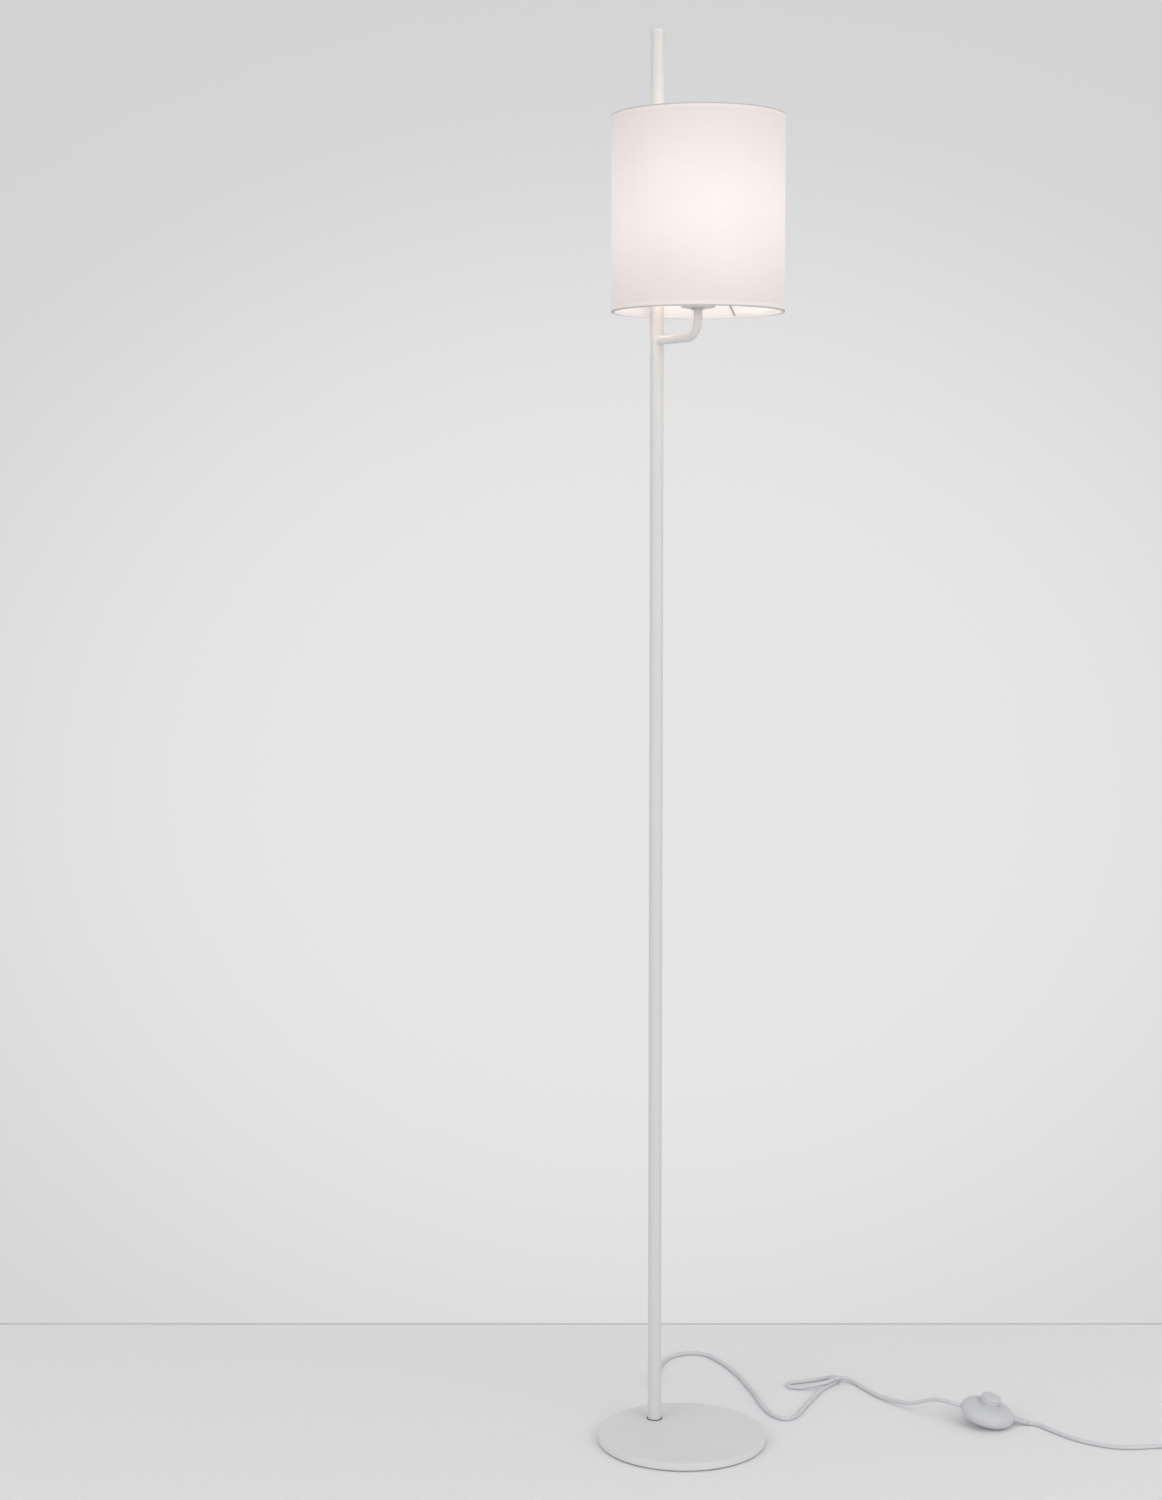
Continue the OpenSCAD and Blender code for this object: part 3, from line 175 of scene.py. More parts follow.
# The camera, mirrored and see-through rays meet that tone, all the others an even light
rays = node(sky, "LightPath")
glossy = node(sky, "Math", operation="MAXIMUM")
clear = node(sky, "Math", operation="MAXIMUM")
choose = node(sky, "MixShader")
wire(sky, (rays, "Is Camera Ray", glossy, 0), (rays, "Is Glossy Ray", glossy, 1),
     (glossy, 0, clear, 0), (rays, "Is Transmission Ray", clear, 1), (clear, 0, choose, 0),
     (light, 0, choose, 1), (seen, 0, choose, 2),
     (choose, 0, sky.nodes["World Output"], "Surface"))
bpy.context.scene.view_settings.view_transform = "Standard"

lamp_middle = np.array([0.0, 0.0, 0.8])


def soft_lamp(name, forward, aside, up, size, power):
    """A square area lamp, so far towards the camera, to the right and up from the middle of the
    floor lamp, and turned to face it."""
    data = bpy.data.lights.new(name, "AREA")
    data.shape = "SQUARE"
    data.size = size
    data.energy = power
    lamp = bpy.data.objects.new(name, data)
    place = lamp_middle + forward * toward_camera + aside * rightward + [0, 0, up]
    lamp.location = place
    way = lamp_middle - place
    lamp.rotation_euler = (math.acos(-way[2] / np.linalg.norm(way)), 0.0,
                           math.atan2(way[1], way[0]) - math.pi / 2)
    bpy.context.scene.collection.objects.link(lamp)


soft_lamp("key_lamp", forward=2.4, aside=2.0, up=0.9, size=2.2, power=30.0)
soft_lamp("fill_lamp", forward=2.4, aside=-2.2, up=0.7, size=2.0, power=21.0)


# ---------------------------------------------------------------- Lead
# A white round mains lead, 5 mm thick. It leaves the pole through its outlet, swings down to the
# floor, makes a flat loop and reaches the foot switch; a second stretch ends in a coil and plug.
lead_d, lead_sides, path_step = 0.005, 16, 0.0025


def lead_curve(points, step):
    """A smooth curve through the points, Catmull-Rom, as rows about one step apart: each piece
    between two points is a cubic whose slopes there are half the way between their neighbours."""
    p = np.vstack([points[:1], points, points[-1:]])
    parts = []
    for a, b, c, d in zip(p[:-3], p[1:-2], p[2:-1], p[3:]):
        t = np.linspace(0, 1, max(2, round(np.linalg.norm(c - b) / step)),
                        endpoint=False)[:, None]
        parts.append(0.5 * (2 * b + (c - a) * t + (2 * a - 5 * b + 4 * c - d) * t ** 2
                            + (3 * b - a - 3 * c + d) * t ** 3))
    return np.vstack(parts + [points[-1:]])


def length_of(path):
    """Length of a row of points, and the distance along it of each point."""
    steps = np.linalg.norm(np.diff(path, axis=0), axis=1)
    run = np.concatenate([[0.0], np.cumsum(steps)])
    return run[-1], run


def tube(name, path, radius, sides, across=(0.0, 0.0, 1.0)):
    """A round tube along a path: at each point a ring, in the plane square to the path, whose
    zero lies sideways, square to the path and to the direction across. radius may be one number
    or one for each point. The flat map runs round the tube and along it, in metres."""
    ahead = np.gradient(path, axis=0)
    ahead /= np.linalg.norm(ahead, axis=1)[:, None]
    side = np.cross(ahead, np.broadcast_to(across, path.shape))
    side /= np.linalg.norm(side, axis=1)[:, None]
    up = np.cross(ahead, side)
    turn = np.linspace(0, 2 * math.pi, sides, endpoint=False)[None, :, None]
    r = np.broadcast_to(radius, len(path))[:, None, None]
    ring = path[:, None] + r * (np.cos(turn) * side[:, None] + np.sin(turn) * up[:, None])
    ends = [np.repeat(path[k][None, None], sides, 1) for k in (0, -1)]
    ring = np.vstack([ends[0], ring, ends[1]])
    run = length_of(path)[1]
    run = np.concatenate([[run[0]], run, [run[-1]]])
    round_at = np.linspace(0, 2 * math.pi, sides + 1) * float(np.max(radius))
    flat = np.stack(np.broadcast_arrays(round_at[None, :], run[:, None]), -1)
    return surface(name, ring, around=True, uv=flat)


# Where the foot switch lies: its middle on the floor, the way it leans, and the lead through it
switch_at = np.array([0.1639, 0.3401])
switch_r, switch_tilt, switch_lean, switch_turn = 0.033, 13.5, 32.5, 16.5
switch_lead_h, gland_l, sole_inset, floor_gap = 0.008, 0.017, 0.0053, 0.00005
switch_lift = (switch_r - sole_inset) * math.sin(math.radians(switch_tilt)) + floor_gap


def turned_about(axis, degrees):
    """The matrix of a turn about Y or Z."""
    c, s = math.cos(math.radians(degrees)), math.sin(math.radians(degrees))
    return np.array([[c, 0, s], [0, 1, 0], [-s, 0, c]] if axis == "y"
                    else [[c, -s, 0], [s, c, 0], [0, 0, 1]])


switch_axes = (turned_about("z", switch_lean) @ turned_about("y", switch_tilt)
               @ turned_about("z", switch_turn))


def on_switch(points):
    """Points of the untilted switch, moved to where it lies."""
    return np.asarray(points) @ switch_axes.T + [*switch_at, switch_lift]


def heading(degrees):
    """The level direction that far round from X."""
    return np.array([math.cos(math.radians(degrees)), math.sin(math.radians(degrees)), 0.0])


outlet_z, outlet_reach, outlet_way = 0.050, 0.030, heading(152)
outlet_tip = pole_foot + outlet_reach * outlet_way + [0, 0, outlet_z]

# Points along the two leads in mm; on the floor the middle of a lead is 2.6 mm high
route_to_switch = np.array([
    [-95, 21, 49.5], [-112, 33, 45], [-132, 49, 35], [-155, 68, 21], [-178, 88, 9],
    [-200, 108, 4.2], [-219, 127, 2.75], [-232, 143, 2.6], [-242, 165, 2.6],
    [-239, 190, 2.6], [-220, 204, 2.6], [-191, 203, 2.6], [-159, 197, 2.6],
    [-128, 188, 2.6], [-99, 177, 2.6], [-69, 165, 2.6], [-36, 150, 2.6],
    [-11, 141, 2.6], [10, 139, 2.6], [21, 146, 2.6], [17, 164, 2.6],
    [2, 187, 2.6], [-14, 212, 2.6], [-29, 236, 2.6], [-40, 259, 2.6],
    [-46, 277, 2.6], [-53, 289, 2.6], [-63, 287, 2.6], [-67, 265, 2.6],
    [-72, 244, 2.6], [-76, 230, 2.6], [-73.5, 222, 2.6], [-67, 218.7, 2.6],
    [-60, 221.5, 2.6], [-53, 229, 3.6], [-44, 240, 6], [-40, 258, 8], [-44, 278, 7.9],
    [-43, 293, 5.2], [-29, 296, 3.2], [-5, 293, 2.6], [30, 289, 3.5], [74, 294, 8],
    [111, 304, 21.5],
]) / 1000
route_to_coil = np.array([
    [209, 385.5, 2.6], [226, 385.5, 2.6], [243, 386, 2.6], [259, 387, 2.6],
    [274, 390, 2.6], [288, 395, 2.6], [302, 402, 2.6], [315, 412, 2.6],
    [326, 427, 2.6], [334, 443, 2.6], [342, 459, 2.6], [351, 475, 2.6],
    [361, 491, 3],
]) / 1000

# The coil winds in towards its middle on the floor, climbs a layer where it turns back, and
# winds out again on top
coil_at, coil_start, coil_turns = np.array([0.346, 0.531]), -34.0, 5.25
coil_r, turn_step, layer_step, coil_z = 0.03485, 0.0056, 0.0055, 0.0033
points_a_turn, climb_turns = 72, 0.5
turn = np.linspace(0, coil_turns, int(points_a_turn * coil_turns) + 1)
wind_r = coil_r - turn_step * np.minimum(turn, coil_turns - turn)
climb = np.clip((turn - coil_turns / 2 + climb_turns / 2) / climb_turns, 0, 1)
wind_a = np.radians(coil_start + 360 * turn)
coil_path = np.stack([coil_at[0] + wind_r * np.cos(wind_a), coil_at[1] + wind_r * np.sin(wind_a),
                      coil_z + layer_step * climb ** 2 * (3 - 2 * climb)], -1)
straight_in = lead_d * np.array([-math.sin(wind_a[0]), math.cos(wind_a[0]), 0.0])
straight_out = lead_d * np.array([-math.sin(wind_a[-1]), math.cos(wind_a[-1]), 0.0])
coil_in, coil_out = coil_path[0] - straight_in, coil_path[-1] + straight_out

plug_way, plug_straight = heading(146.0), 0.008
plug_tip = np.array([0.332, 0.582, 0.00695])

switch_in, switch_out = on_switch([[-switch_r, 0, switch_lead_h],
                                   [switch_r + gland_l, 0, switch_lead_h]])
lead_in, lead_out = on_switch([[-switch_r - 2 * lead_d, 0, switch_lead_h],
                               [switch_r + gland_l + lead_d / 2, 0, switch_lead_h]])
path_to_switch = lead_curve(np.vstack([outlet_tip, route_to_switch, lead_in, switch_in]),
                            path_step)
path_to_coil = lead_curve(np.vstack([switch_out, lead_out, route_to_coil, coil_in]), path_step)
path_to_plug = lead_curve(np.vstack([coil_out, plug_tip - plug_straight * plug_way, plug_tip]),
                          path_step)
path_wound = np.vstack([path_to_coil[:-1], coil_in, coil_path, path_to_plug])

lead_a = tube("lead_to_switch", path_to_switch, lead_d / 2, lead_sides)
lead_b = tube("lead_to_plug", path_wound, lead_d / 2, lead_sides)

# Inside the lamp the lead turns up behind the outlet, climbs the pole and follows the arm
shade_x, arm_z, arm_reach, arm_bend, holder_z = 0.024, 1.310, 0.080, 0.020, 1.343
pole_bend, into_holder = 0.007, 0.012
quarter = np.radians(np.linspace(0, 90, 13))[:, None]
upright = np.array([0.0, 0.0, 1.0])
arm_way = np.array([1.0, 0.0, 0.0])
low_bend = pole_bend * ((1 - np.sin(quarter)) * outlet_way + (1 - np.cos(quarter)) * upright)
high_bend = pole_bend * ((1 - np.cos(quarter)) * arm_way + (np.sin(quarter) - 1) * upright)
last_bend = arm_bend * (np.sin(quarter) * arm_way + (1 - np.cos(quarter)) * upright)
inner_path = pole_foot + np.vstack([
    (outlet_reach * outlet_way + outlet_z * upright)[None], low_bend + outlet_z * upright,
    high_bend + arm_z * upright,
    last_bend + (arm_reach - arm_bend) * arm_way + arm_z * upright,
    (arm_reach * arm_way + (holder_z + into_holder) * upright)[None],
])
low_points = 1 + len(low_bend)
side_of_bend = np.repeat([np.cross(outlet_way, upright), np.cross(-arm_way, upright)],
                         [low_points, len(inner_path) - low_points], 0)
lead_inside = tube("lead_inside", inner_path, lead_d / 2, lead_sides, side_of_bend)


def group(name, inputs, outputs):
    """A new shader node group with named sockets, and its input and output nodes. inputs maps a
    name to its kind of socket and starting value, outputs a name to its kind."""
    made = bpy.data.node_groups.new(name, "ShaderNodeTree")
    for label, (kind, value) in inputs.items():
        socket = made.interface.new_socket(label, in_out="INPUT", socket_type="NodeSocket" + kind)
        socket.default_value = value
    for label, kind in outputs.items():
        made.interface.new_socket(label, in_out="OUTPUT", socket_type="NodeSocket" + kind)
    return made, made.nodes.new("NodeGroupInput"), made.nodes.new("NodeGroupOutput")


# A moulded or painted skin: fine grain for the bump, broad faint patches in colour and gloss
skin, skin_in, skin_out = group(
    "moulded_skin",
    {"Colour": ("Color", (0.8, 0.8, 0.8, 1.0)), "Patch Colour": ("Color", (0.7, 0.7, 0.7, 1.0)),
     "Grain Size": ("Float", 900.0), "Patch Size": ("Float", 18.0), "Gloss": ("Float", 0.4),
     "Gloss Change": ("Float", 0.08)},
    {"Colour": "Color", "Roughness": "Float", "Height": "Float"})
place = node(skin, "TexCoord")
grain = node(skin, "TexNoise", {"Detail": 3.0, "Roughness": 0.55})
patch = node(skin, "TexNoise", {"Detail": 4.0, "Roughness": 0.6})
blend = node(skin, "Mix", data_type="RGBA")
spread = node(skin, "MapRange", {"From Min": 0.35, "From Max": 0.65})
gloss = node(skin, "Math", operation="MULTIPLY_ADD")
wire(skin, (place, "Object", grain, "Vector"), (place, "Object", patch, "Vector"),
     (skin_in, "Grain Size", grain, "Scale"), (skin_in, "Patch Size", patch, "Scale"),
     (patch, "Fac", spread, "Value"), (spread, "Result", blend, "Factor"),
     (skin_in, "Colour", blend, "A"), (skin_in, "Patch Colour", blend, "B"),
     (spread, "Result", gloss, 0), (skin_in, "Gloss Change", gloss, 1),
     (skin_in, "Gloss", gloss, 2), (blend, "Result", skin_out, "Colour"),
     (gloss, 0, skin_out, "Roughness"), (grain, "Fac", skin_out, "Height"))


def skinned(name, colour, patch_colour, grain, depth, gloss, gloss_change=0.08,
            patch_size=18.0, **values):
    """A material with the moulded skin: its colour, gloss and grain come from the group. grain
    and patch_size are the scales of the two noises, depth the height of the grain in metres."""
    made, tree, shader = principled(name, **values)
    coat = node(tree, "Group", {"Colour": (*colour, 1.0), "Patch Colour": (*patch_colour, 1.0),
                                "Grain Size": grain, "Patch Size": patch_size,
                                "Gloss": gloss, "Gloss Change": gloss_change}, node_tree=skin)
    bump = node(tree, "Bump", {"Strength": 0.6, "Distance": depth})
    wire(tree, (coat, "Height", bump, "Height"), (coat, "Colour", shader, "Base Color"),
         (coat, "Roughness", shader, "Roughness"), (bump, "Normal", shader, "Normal"))
    return made


lead_sheath = skinned("lead_sheath", (0.62, 0.623, 0.636), (0.60, 0.603, 0.616), grain=700,
                      depth=0.00005, gloss=0.45, Specular_IOR_Level=0.4)
for piece in (lead_a, lead_b, lead_inside):
    give(piece, lead_sheath)
    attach(piece, "lamp")
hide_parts("cord_to_switch")
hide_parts("cord_to_coil", "cord_coil", "cord_to_plug")
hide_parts("inner_cable")


# ---------------------------------------------------------------- Foot disc
# A heavy round steel disc, powder coated white, with a softly rounded top edge. It stands on a
# grey pad set into its underside; a countersunk screw and a pin hold the pole, on a dark ring.
def dress(made, *names):
    """Gives CAD nodes their finish through the material slots of their objects."""
    for name in names:
        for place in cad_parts[name].material_slots:
            place.material = made


disc_paint = skinned("disc_paint", (0.705, 0.69, 0.695), (0.69, 0.675, 0.68), grain=1400,
                     depth=0.00004, gloss=0.42, patch_size=9.0, Specular_IOR_Level=0.4)
foot_felt = skinned("foot_felt", (0.30, 0.30, 0.305), (0.26, 0.26, 0.262), grain=2200,
                    depth=0.0002, gloss=0.85, Specular_IOR_Level=0.2)
zinc = skinned("zinc_plate", (0.62, 0.62, 0.63), (0.5, 0.5, 0.52), grain=900, depth=0.00002,
               gloss=0.28, Metallic=1.0)
seal = skinned("foot_seal", (0.10, 0.10, 0.10), (0.07, 0.07, 0.07), grain=1500, depth=0.00003,
               gloss=0.6)
dress(disc_paint, "base_disc")
dress(foot_felt, "base_pad")
dress(zinc, "base_screw", "foot_pin", "foot_insert")
dress(seal, "foot_ring")


# ---------------------------------------------------------------- Pole, cap and arm
# One steel tube of 16 mm and a bent tube of 10 mm welded to it, both powder coated in a warm
# white; a plastic plug closes the top, and a plated nut locks the lampholder on the arm.
pole_paint = skinned("pole_paint", (0.648, 0.642, 0.624), (0.638, 0.632, 0.614), grain=1500,
                     depth=0.00004, gloss=0.36, gloss_change=0.03, patch_size=9.0,
                     Specular_IOR_Level=0.45)
white_plastic = skinned("white_plastic", (0.70, 0.69, 0.67), (0.66, 0.65, 0.63), grain=1200,
                        depth=0.00003, gloss=0.38)
dress(pole_paint, "pole_tube", "arm_tube")
dress(white_plastic, "pole_cap", "cable_outlet")
dress(zinc, "lock_nut")


# ---------------------------------------------------------------- Lampholder
# A white two-part cap with an insulating block inside, a brass sleeve for the bulb, and two
# ribbed rings on its outside thread that clamp the middle of the spider between them.
holder_plastic = skinned("holder_plastic", (0.66, 0.65, 0.635), (0.62, 0.61, 0.60), grain=1300,
                         depth=0.00003, gloss=0.36)
core_glaze = skinned("core_glaze", (0.74, 0.72, 0.66), (0.70, 0.68, 0.62), grain=600,
                     depth=0.00003, gloss=0.5)
brass = skinned("contact_brass", (0.72, 0.50, 0.20), (0.62, 0.42, 0.16), grain=1000, depth=0.00002,
                gloss=0.25, Metallic=1.0)
dress(holder_plastic, "holder_cap", "holder_skirt", "shade_ring_lower", "shade_ring_upper")
dress(core_glaze, "holder_core")
dress(brass, "holder_terminals", "holder_contact", "holder_thread_shell")


# ---------------------------------------------------------------- Bulb
# A lit bulb with a nickel screw cap, an opaque white housing and an opal globe, screwed into the
# lampholder's brass sleeve.
nickel = skinned("nickel_cap", (0.66, 0.64, 0.60), (0.58, 0.56, 0.53), grain=900, depth=0.00002,
                 gloss=0.22, Metallic=1.0)
bulb_white = skinned("bulb_white", (0.78, 0.77, 0.75), (0.75, 0.74, 0.72), grain=900,
                     depth=0.00002, gloss=0.4)
globe_glow, tree, shader = principled(
    "globe_glow", Base_Color=(0.85, 0.82, 0.78, 1.0), Roughness=0.5,
    Emission_Color=(1.0, 0.74, 0.60, 1.0))
# The globe shines more from its lower part than from its top
full_below, low_above, full_shine, low_shine = 1.445, 1.470, 90.0, 6.0
place = node(tree, "TexCoord")
split = node(tree, "SeparateXYZ")
upward = node(tree, "MapRange", {"From Min": full_below, "From Max": low_above,
                                 "To Min": full_shine, "To Max": low_shine})
wire(tree, (place, "Object", split, 0), (split, "Z", upward, "Value"),
     (upward, "Result", shader, "Emission Strength"))
dress(nickel, "bulb_cap", "bulb_contact")
dress(bulb_white, "bulb_housing")
dress(globe_glow, "bulb_globe")


# ---------------------------------------------------------------- Shade
# A drum of plain white cloth laminated to a stiff film, lit from inside. A cloth tape is folded
# over both edges and round the wire rings; the light is strongest level with the bulb.
shade_low, shade_high = 1.338, 1.560
cloth_out, cloth_in = 0.0995, 0.0988
lining_out, lining_in = 0.09875, 0.0983
edge_gap, level_count, drum_columns = 0.0005, 45, 240


def drum(name, profile, columns, ripple=0.0):
    """A ring-shaped piece about the shade's axis: a closed outline of radius and height is
    carried round. ripple moves the radius in and out by slow waves round the drum."""
    angle = np.linspace(0, 2 * math.pi, columns, endpoint=False)
    wave = ripple * (np.sin(5 * angle + 0.4) + 0.6 * np.sin(9 * angle + 1.7)
                     + 0.4 * np.sin(16 * angle + 0.9))
    r = profile[:, None, 0] + wave[None]
    points = np.stack([shade_x + r * np.cos(angle), r * np.sin(angle),
                       np.broadcast_to(profile[:, None, 1], r.shape)], -1)
    round_at = np.linspace(0, 2 * math.pi, columns + 1) * profile[0, 0]
    run = length_of(np.vstack([profile, profile[:1]]))[1]
    flat = np.stack(np.broadcast_arrays(round_at[None, :], run[:, None]), -1)
    return surface(name, points, around=True, along=True, uv=flat)


def straight_wall(outer, inner):
    """The outline of a drum's wall: up its outer face and down its inner one."""
    levels = np.linspace(shade_low + edge_gap, shade_high - edge_gap, level_count)
    return np.vstack([np.stack([np.full(level_count, outer), levels], -1),
                      np.stack([np.full(level_count, inner), levels[::-1]], -1)])


cloth = drum("shade_cloth_drum", straight_wall(cloth_out, cloth_in), drum_columns)
lining = drum("shade_lining_drum", straight_wall(lining_out, lining_in), drum_columns)

# Light through the cloth: strongest level with the bulb, less towards both edges, by one over
# one plus the square of the distance over the spread, with faint soft clouds in it
glow, glow_in, glow_out = group(
    "shade_glow",
    {"Level": ("Float", 1.452), "Spread": ("Float", 0.115), "Low": ("Float", 0.6)},
    {"Light": "Float", "Hue": "Color"})
place = node(glow, "TexCoord")
split = node(glow, "SeparateXYZ")
off = node(glow, "Math", operation="SUBTRACT")
scaled = node(glow, "Math", operation="DIVIDE")
square = node(glow, "Math", {1: 2.0}, operation="POWER")
falling = node(glow, "Math", {0: 1.0}, operation="ADD")
inverse = node(glow, "Math", {0: 1.0}, operation="DIVIDE")
fade = node(glow, "MapRange", {"From Min": 0.45, "From Max": 1.0, "To Max": 1.0})
cloud = node(glow, "TexNoise", {"Scale": 9.0, "Detail": 1.0})
cloud_mix = node(glow, "MapRange", {"From Min": 0.3, "From Max": 0.7, "To Min": 0.96,
                                    "To Max": 1.04})
total = node(glow, "Math", operation="MULTIPLY")
hue = node(glow, "ValToRGB")
hue.color_ramp.elements[0].position = 0.5
hue.color_ramp.elements[0].color = (1.0, 0.80, 0.74, 1.0)
hue.color_ramp.elements[1].position = 1.0
hue.color_ramp.elements[1].color = (1.0, 0.85, 0.81, 1.0)
wire(glow, (place, "Object", split, 0), (place, "Object", cloud, "Vector"), (split, "Z", off, 0),
     (glow_in, "Level", off, 1), (off, 0, scaled, 0), (glow_in, "Spread", scaled, 1),
     (scaled, 0, square, 0), (square, 0, falling, 1), (falling, 0, inverse, 1),
     (inverse, 0, fade, "Value"), (glow_in, "Low", fade, "To Min"),
     (cloud, "Fac", cloud_mix, "Value"), (fade, "Result", total, 0),
     (cloud_mix, "Result", total, 1), (total, 0, hue, "Fac"), (total, 0, glow_out, "Light"),
     (hue, "Color", glow_out, "Hue"))

# Plain weave: threads run round and up the flat cloth, each a rounded ridge that dips where it
# goes under the next, with a few thicker threads among them
weave, weave_in, weave_out = group(
    "plain_weave", {"Pitch": ("Float", 0.00055), "Slub": ("Float", 0.35)},
    {"Height": "Float", "Shade": "Float"})
place = node(weave, "UVMap", uv_map="sheet")
split = node(weave, "SeparateXYZ")
wire(weave, (place, 0, split, 0))
ridges = []
for label in ("X", "Y"):
    count = node(weave, "Math", operation="DIVIDE")
    turn_of = node(weave, "Math", {1: math.pi}, operation="MULTIPLY")
    wave = node(weave, "Math", operation="SINE")
    wire(weave, (split, label, count, 0), (weave_in, "Pitch", count, 1), (count, 0, turn_of, 0),
         (turn_of, 0, wave, 0))
    ridges.append(wave)
cross = node(weave, "Math", operation="MULTIPLY")
thick = node(weave, "Math", operation="ABSOLUTE")
wire(weave, (ridges[0], 0, cross, 0), (ridges[1], 0, cross, 1), (cross, 0, thick, 0))
across_threads, along_threads = 900.0, 14.0
stretch = node(weave, "Mapping", {"Scale": (across_threads, along_threads, 1.0)})
stretch_up = node(weave, "Mapping", {"Scale": (along_threads, across_threads, 1.0)})
slub_a = node(weave, "TexNoise", {"Scale": 1.0, "Detail": 1.0})
slub_b = node(weave, "TexNoise", {"Scale": 1.0, "Detail": 1.0})
both = node(weave, "Math", operation="ADD")
slubbed = node(weave, "Math", operation="MULTIPLY_ADD")
wire(weave, (place, 0, stretch, 0), (place, 0, stretch_up, 0), (stretch, 0, slub_a, "Vector"),
     (stretch_up, 0, slub_b, "Vector"), (slub_a, "Fac", both, 0), (slub_b, "Fac", both, 1),
     (both, 0, slubbed, 0), (weave_in, "Slub", slubbed, 1), (thick, 0, slubbed, 2),
     (slubbed, 0, weave_out, "Height"))
shade_of = node(weave, "MapRange", {"From Min": 0.6, "From Max": 1.4, "To Min": 0.985,
                                    "To Max": 1.012})
wire(weave, (both, 0, shade_of, "Value"), (shade_of, "Result", weave_out, "Shade"))


def lit_cloth(name, colour, strength, low, warmth, depth):
    """Cloth that the bulb shines through: a plain weave, and the shade's glow as its light, of
    which low is left far from the bulb. warmth is the share of the glow's own hue in it, the
    rest is white, and depth the height of the threads in metres."""
    made, tree, shader = principled(name, Roughness=0.9, Specular_IOR_Level=0.15,
                                    Sheen_Weight=0.15, Emission_Strength=strength)
    threads = node(tree, "Group", node_tree=weave)
    light = node(tree, "Group", {"Low": low}, node_tree=glow)
    tint = node(tree, "Mix", {"Factor": 1.0, "A": (*colour, 1.0)}, data_type="RGBA",
                blend_type="MULTIPLY")
    bright = node(tree, "Math", operation="MULTIPLY")
    warm = node(tree, "Mix", {"Factor": warmth, "A": (1.0, 1.0, 1.0, 1.0)}, data_type="RGBA")
    shine = node(tree, "Mix", {"Factor": 1.0}, data_type="RGBA", blend_type="MULTIPLY")
    bump = node(tree, "Bump", {"Strength": 0.35, "Distance": depth})
    wire(tree, (threads, "Shade", tint, "B"), (tint, "Result", shader, "Base Color"),
         (light, "Light", bright, 0), (threads, "Shade", bright, 1), (light, "Hue", warm, "B"),
         (warm, "Result", shine, "A"), (bright, 0, shine, "B"),
         (shine, "Result", shader, "Emission Color"), (threads, "Height", bump, "Height"),
         (bump, "Normal", shader, "Normal"))
    return made


cloth_finish = lit_cloth("shade_cloth_lit", (0.53, 0.512, 0.502), strength=0.425, low=0.57,
                         warmth=1.0, depth=0.0001)
lining_finish = lit_cloth("shade_lining_lit", (0.25, 0.245, 0.24), strength=0.63, low=0.85,
                          warmth=0.10, depth=0.00002)
give(cloth, cloth_finish)
give(lining, lining_finish)

# The folded tape of each edge: a band on the outside, on round the edge, and a band inside the
# wire ring, where the bulb lights it as it does the lining
trim_out, trim_in, trim_w, trim_inner_w, trim_t = 0.0999, 0.0948, 0.0055, 0.005, 0.00045
fold_r, cut_r, trim_columns, trim_ripple = 0.0004, 0.0001, 360, 0.00002
corner = np.radians(np.linspace(0, 90, 6))[:, None]
round_out = [trim_out - fold_r, fold_r] + fold_r * np.hstack([np.cos(corner), -np.sin(corner)])
round_in = [trim_in + fold_r, fold_r] + fold_r * np.hstack([-np.sin(corner), -np.cos(corner)])
trim_outline = np.vstack([
    [[trim_out - trim_t + cut_r, trim_t], [trim_out - trim_t + cut_r, trim_w]],
    [[trim_out - cut_r, trim_w], [trim_out, trim_w - cut_r]],
    round_out, round_in,
    [[trim_in, trim_inner_w], [trim_in + trim_t, trim_inner_w], [trim_in + trim_t, trim_t]],
])[::-1]
low_trim = drum("shade_tape_low", trim_outline + [0.0, shade_low], trim_columns, trim_ripple)
flipped = trim_outline[::-1] * [1, -1] + [0.0, shade_high]
high_trim = drum("shade_tape_high", flipped, trim_columns, trim_ripple)

tape_finish, tree, shader = principled("shade_tape", Roughness=0.9, Specular_IOR_Level=0.15,
                                       Emission_Strength=1.0)
# Light comes through the outer band but not through the fold, and the inner band shines as the
# lining does. The fold is also painted greyer than the band: painted shade along the very edge
half_h, fold_from, fold_to = (shade_high - shade_low) / 2, 0.0010, 0.0017
inside_out, inside_in = trim_out - 0.0012, trim_in + 0.0008
threads = node(tree, "Group", {"Pitch": 0.0004}, node_tree=weave)
tint = node(tree, "Mix", {"Factor": 1.0}, data_type="RGBA", blend_type="MULTIPLY")
# Painted shade: the tape's colour is greyer at its fold than on its band
fold_painted_shade = node(tree, "Mix", {"A": (0.53, 0.515, 0.51, 1.0), "B": (0.66, 0.64, 0.63, 1.0)},
            data_type="RGBA")
place = node(tree, "TexCoord")
split = node(tree, "SeparateXYZ")
middle = node(tree, "Math", {1: (shade_low + shade_high) / 2}, operation="SUBTRACT")
height = node(tree, "Math", operation="ABSOLUTE")
through = node(tree, "MapRange", {"From Min": half_h - fold_from, "From Max": half_h - fold_to})
warm = node(tree, "Mix", {"A": (0.0, 0.0, 0.0, 1.0), "B": (0.19, 0.129, 0.110, 1.0)},
            data_type="RGBA")
off_axis = node(tree, "VectorMath", {1: (shade_x, 0.0, 0.0)}, operation="SUBTRACT")
flat = node(tree, "VectorMath", {1: (1.0, 1.0, 0.0)}, operation="MULTIPLY")
from_axis = node(tree, "VectorMath", operation="LENGTH")
inside = node(tree, "MapRange", {"From Min": inside_out, "From Max": inside_in})
lit = node(tree, "Mix", {"B": (0.53, 0.505, 0.49, 1.0)}, data_type="RGBA")
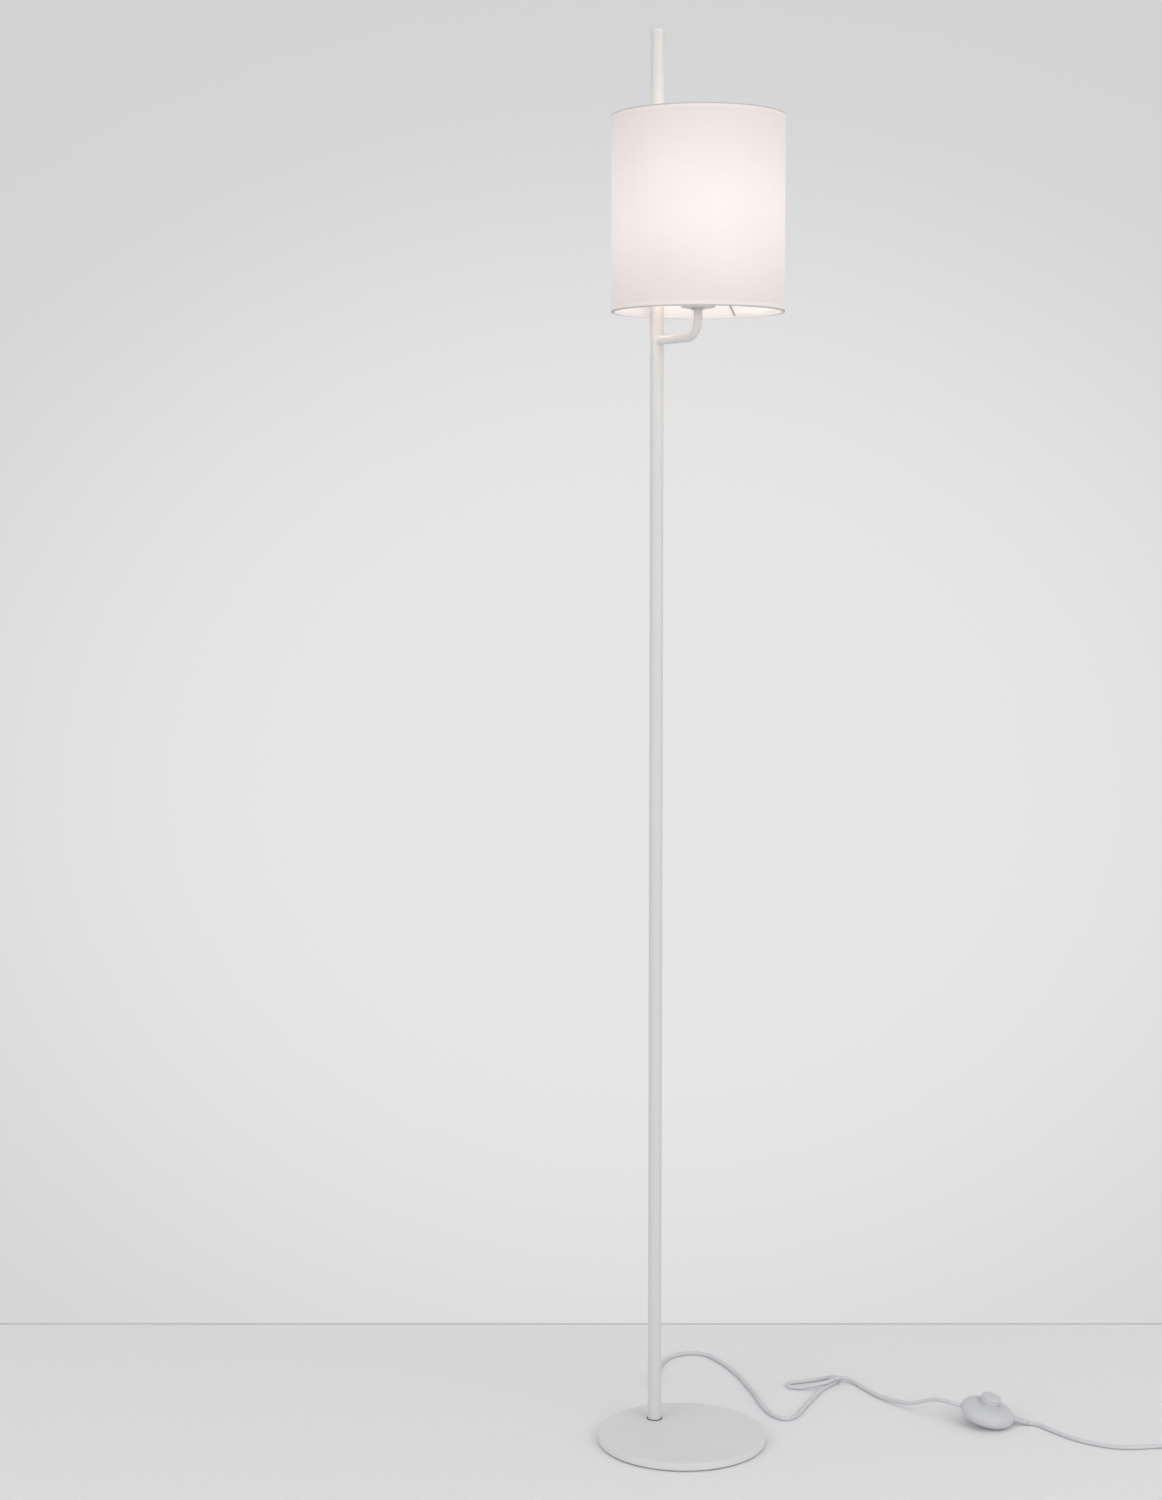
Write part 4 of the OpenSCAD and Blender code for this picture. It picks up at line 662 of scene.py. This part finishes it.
lined = node(tree, "Mix", {"B": (0.25, 0.245, 0.24, 1.0)}, data_type="RGBA")
bump = node(tree, "Bump", {"Strength": 0.5, "Distance": 0.0001})
wire(tree, (threads, "Shade", tint, "B"), (tint, "Result", shader, "Base Color"),
     (place, "Object", split, 0), (split, "Z", middle, 0), (middle, 0, height, 0),
     (height, 0, through, "Value"), (through, "Result", warm, "Factor"),
     (through, "Result", fold_painted_shade, "Factor"), (place, "Object", off_axis, 0), (off_axis, 0, flat, 0),
     (flat, 0, from_axis, 0), (from_axis, "Value", inside, "Value"),
     (inside, "Result", lined, "Factor"), (fold_painted_shade, "Result", lined, "A"),
     (lined, "Result", tint, "A"), (inside, "Result", lit, "Factor"), (warm, "Result", lit, "A"),
     (lit, "Result", shader, "Emission Color"), (threads, "Height", bump, "Height"),
     (bump, "Normal", shader, "Normal"))
for piece in (low_trim, high_trim):
    give(piece, tape_finish)
for piece in (cloth, lining, low_trim, high_trim):
    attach(piece, "lamp")
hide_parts("shade_cloth")
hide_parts("shade_lining")
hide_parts("shade_bottom_trim")
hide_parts("shade_top_trim")

wire_paint = skinned("wire_paint", (0.55, 0.54, 0.53), (0.50, 0.49, 0.48), grain=1500,
                     depth=0.00003, gloss=0.4)
dress(wire_paint, "shade_top_ring", "shade_spider")


# ---------------------------------------------------------------- Foot switch
# A round pedal switch of smooth white plastic in two shells, with a domed button in a raised
# ring, a return spring under it, three screws from below and a ribbed sleeve for the lead on the
# plug's side.
switch_plastic = skinned("switch_plastic", (0.58, 0.583, 0.60), (0.565, 0.568, 0.585), grain=1100,
                         depth=0.00003, gloss=0.34, Specular_IOR_Level=0.5)
switch_dark = skinned("switch_dark", (0.04, 0.04, 0.042), (0.03, 0.03, 0.03), grain=900,
                      depth=0.00003, gloss=0.5)
spring_steel = skinned("spring_steel", (0.45, 0.45, 0.46), (0.38, 0.38, 0.4), grain=900,
                       depth=0.00002, gloss=0.3, Metallic=1.0)
dress(switch_plastic, "switch_base", "switch_cover", "switch_button", "switch_gland")
dress(switch_dark, "switch_module")
dress(lead_sheath, "switch_leads")
dress(zinc, "switch_screws")
dress(brass, "switch_contacts")
dress(holder_plastic, "switch_clamps")
# The ring round the button, on the cover's low rim: its outline of radius and height is carried
# round the switch's axis
rim_columns = 96
rim_outline = np.array([[0.0138, 0.01959], [0.0138, 0.0212], [0.0137, 0.02135],
                        [0.01355, 0.0214], [0.0126, 0.0214], [0.01245, 0.02135],
                        [0.01235, 0.0212], [0.01235, 0.01959]])
angle = np.linspace(0, 2 * math.pi, rim_columns, endpoint=False)
rim_r, rim_h = rim_outline[:, :1], np.tile(rim_outline[:, 1:], rim_columns)
button_rim = surface("switch_button_rim", on_switch(
    np.stack([rim_r * np.cos(angle), rim_r * np.sin(angle), rim_h], -1)),
    around=True, along=True)
give(button_rim, switch_plastic)
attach(button_rim, "lamp")
# The return spring inside, a helix drawn at its resting length; the real spring shortens as the
# button goes down
spring_low, spring_high, spring_r, spring_wire, travel = 0.01025, 0.02805, 0.005, 0.0006, 0.004
spring_turns, spring_steps, wire_sides = 6, 20, 8
wound = np.linspace(0, spring_turns * 2 * math.pi, spring_turns * spring_steps + 1)
spring_line = np.stack([spring_r * np.cos(wound), spring_r * np.sin(wound),
                        np.linspace(spring_low, spring_high, len(wound))], -1)
button_spring = tube("switch_return_spring", on_switch(spring_line), spring_wire,
                     wire_sides, across=switch_axes[:, 2])
give(button_spring, spring_steel)
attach(button_spring, "lamp")
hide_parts("switch_spring")
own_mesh(button_spring)


# ---------------------------------------------------------------- Plug and tie
# A flat white plug with two round nickel pins, their roots in dark sleeves, and a thin strap that
# holds the coil together.
plug_plastic = skinned("plug_plastic", (0.64, 0.65, 0.67), (0.60, 0.61, 0.63), grain=1100,
                       depth=0.00003, gloss=0.32)
pin_sleeve = skinned("pin_sleeve", (0.03, 0.03, 0.03), (0.02, 0.02, 0.02), grain=900,
                     depth=0.00002, gloss=0.45)
dress(plug_plastic, "plug_body", "coil_tie")
dress(nickel, "plug_pins")
dress(pin_sleeve, "plug_pin_sleeves")
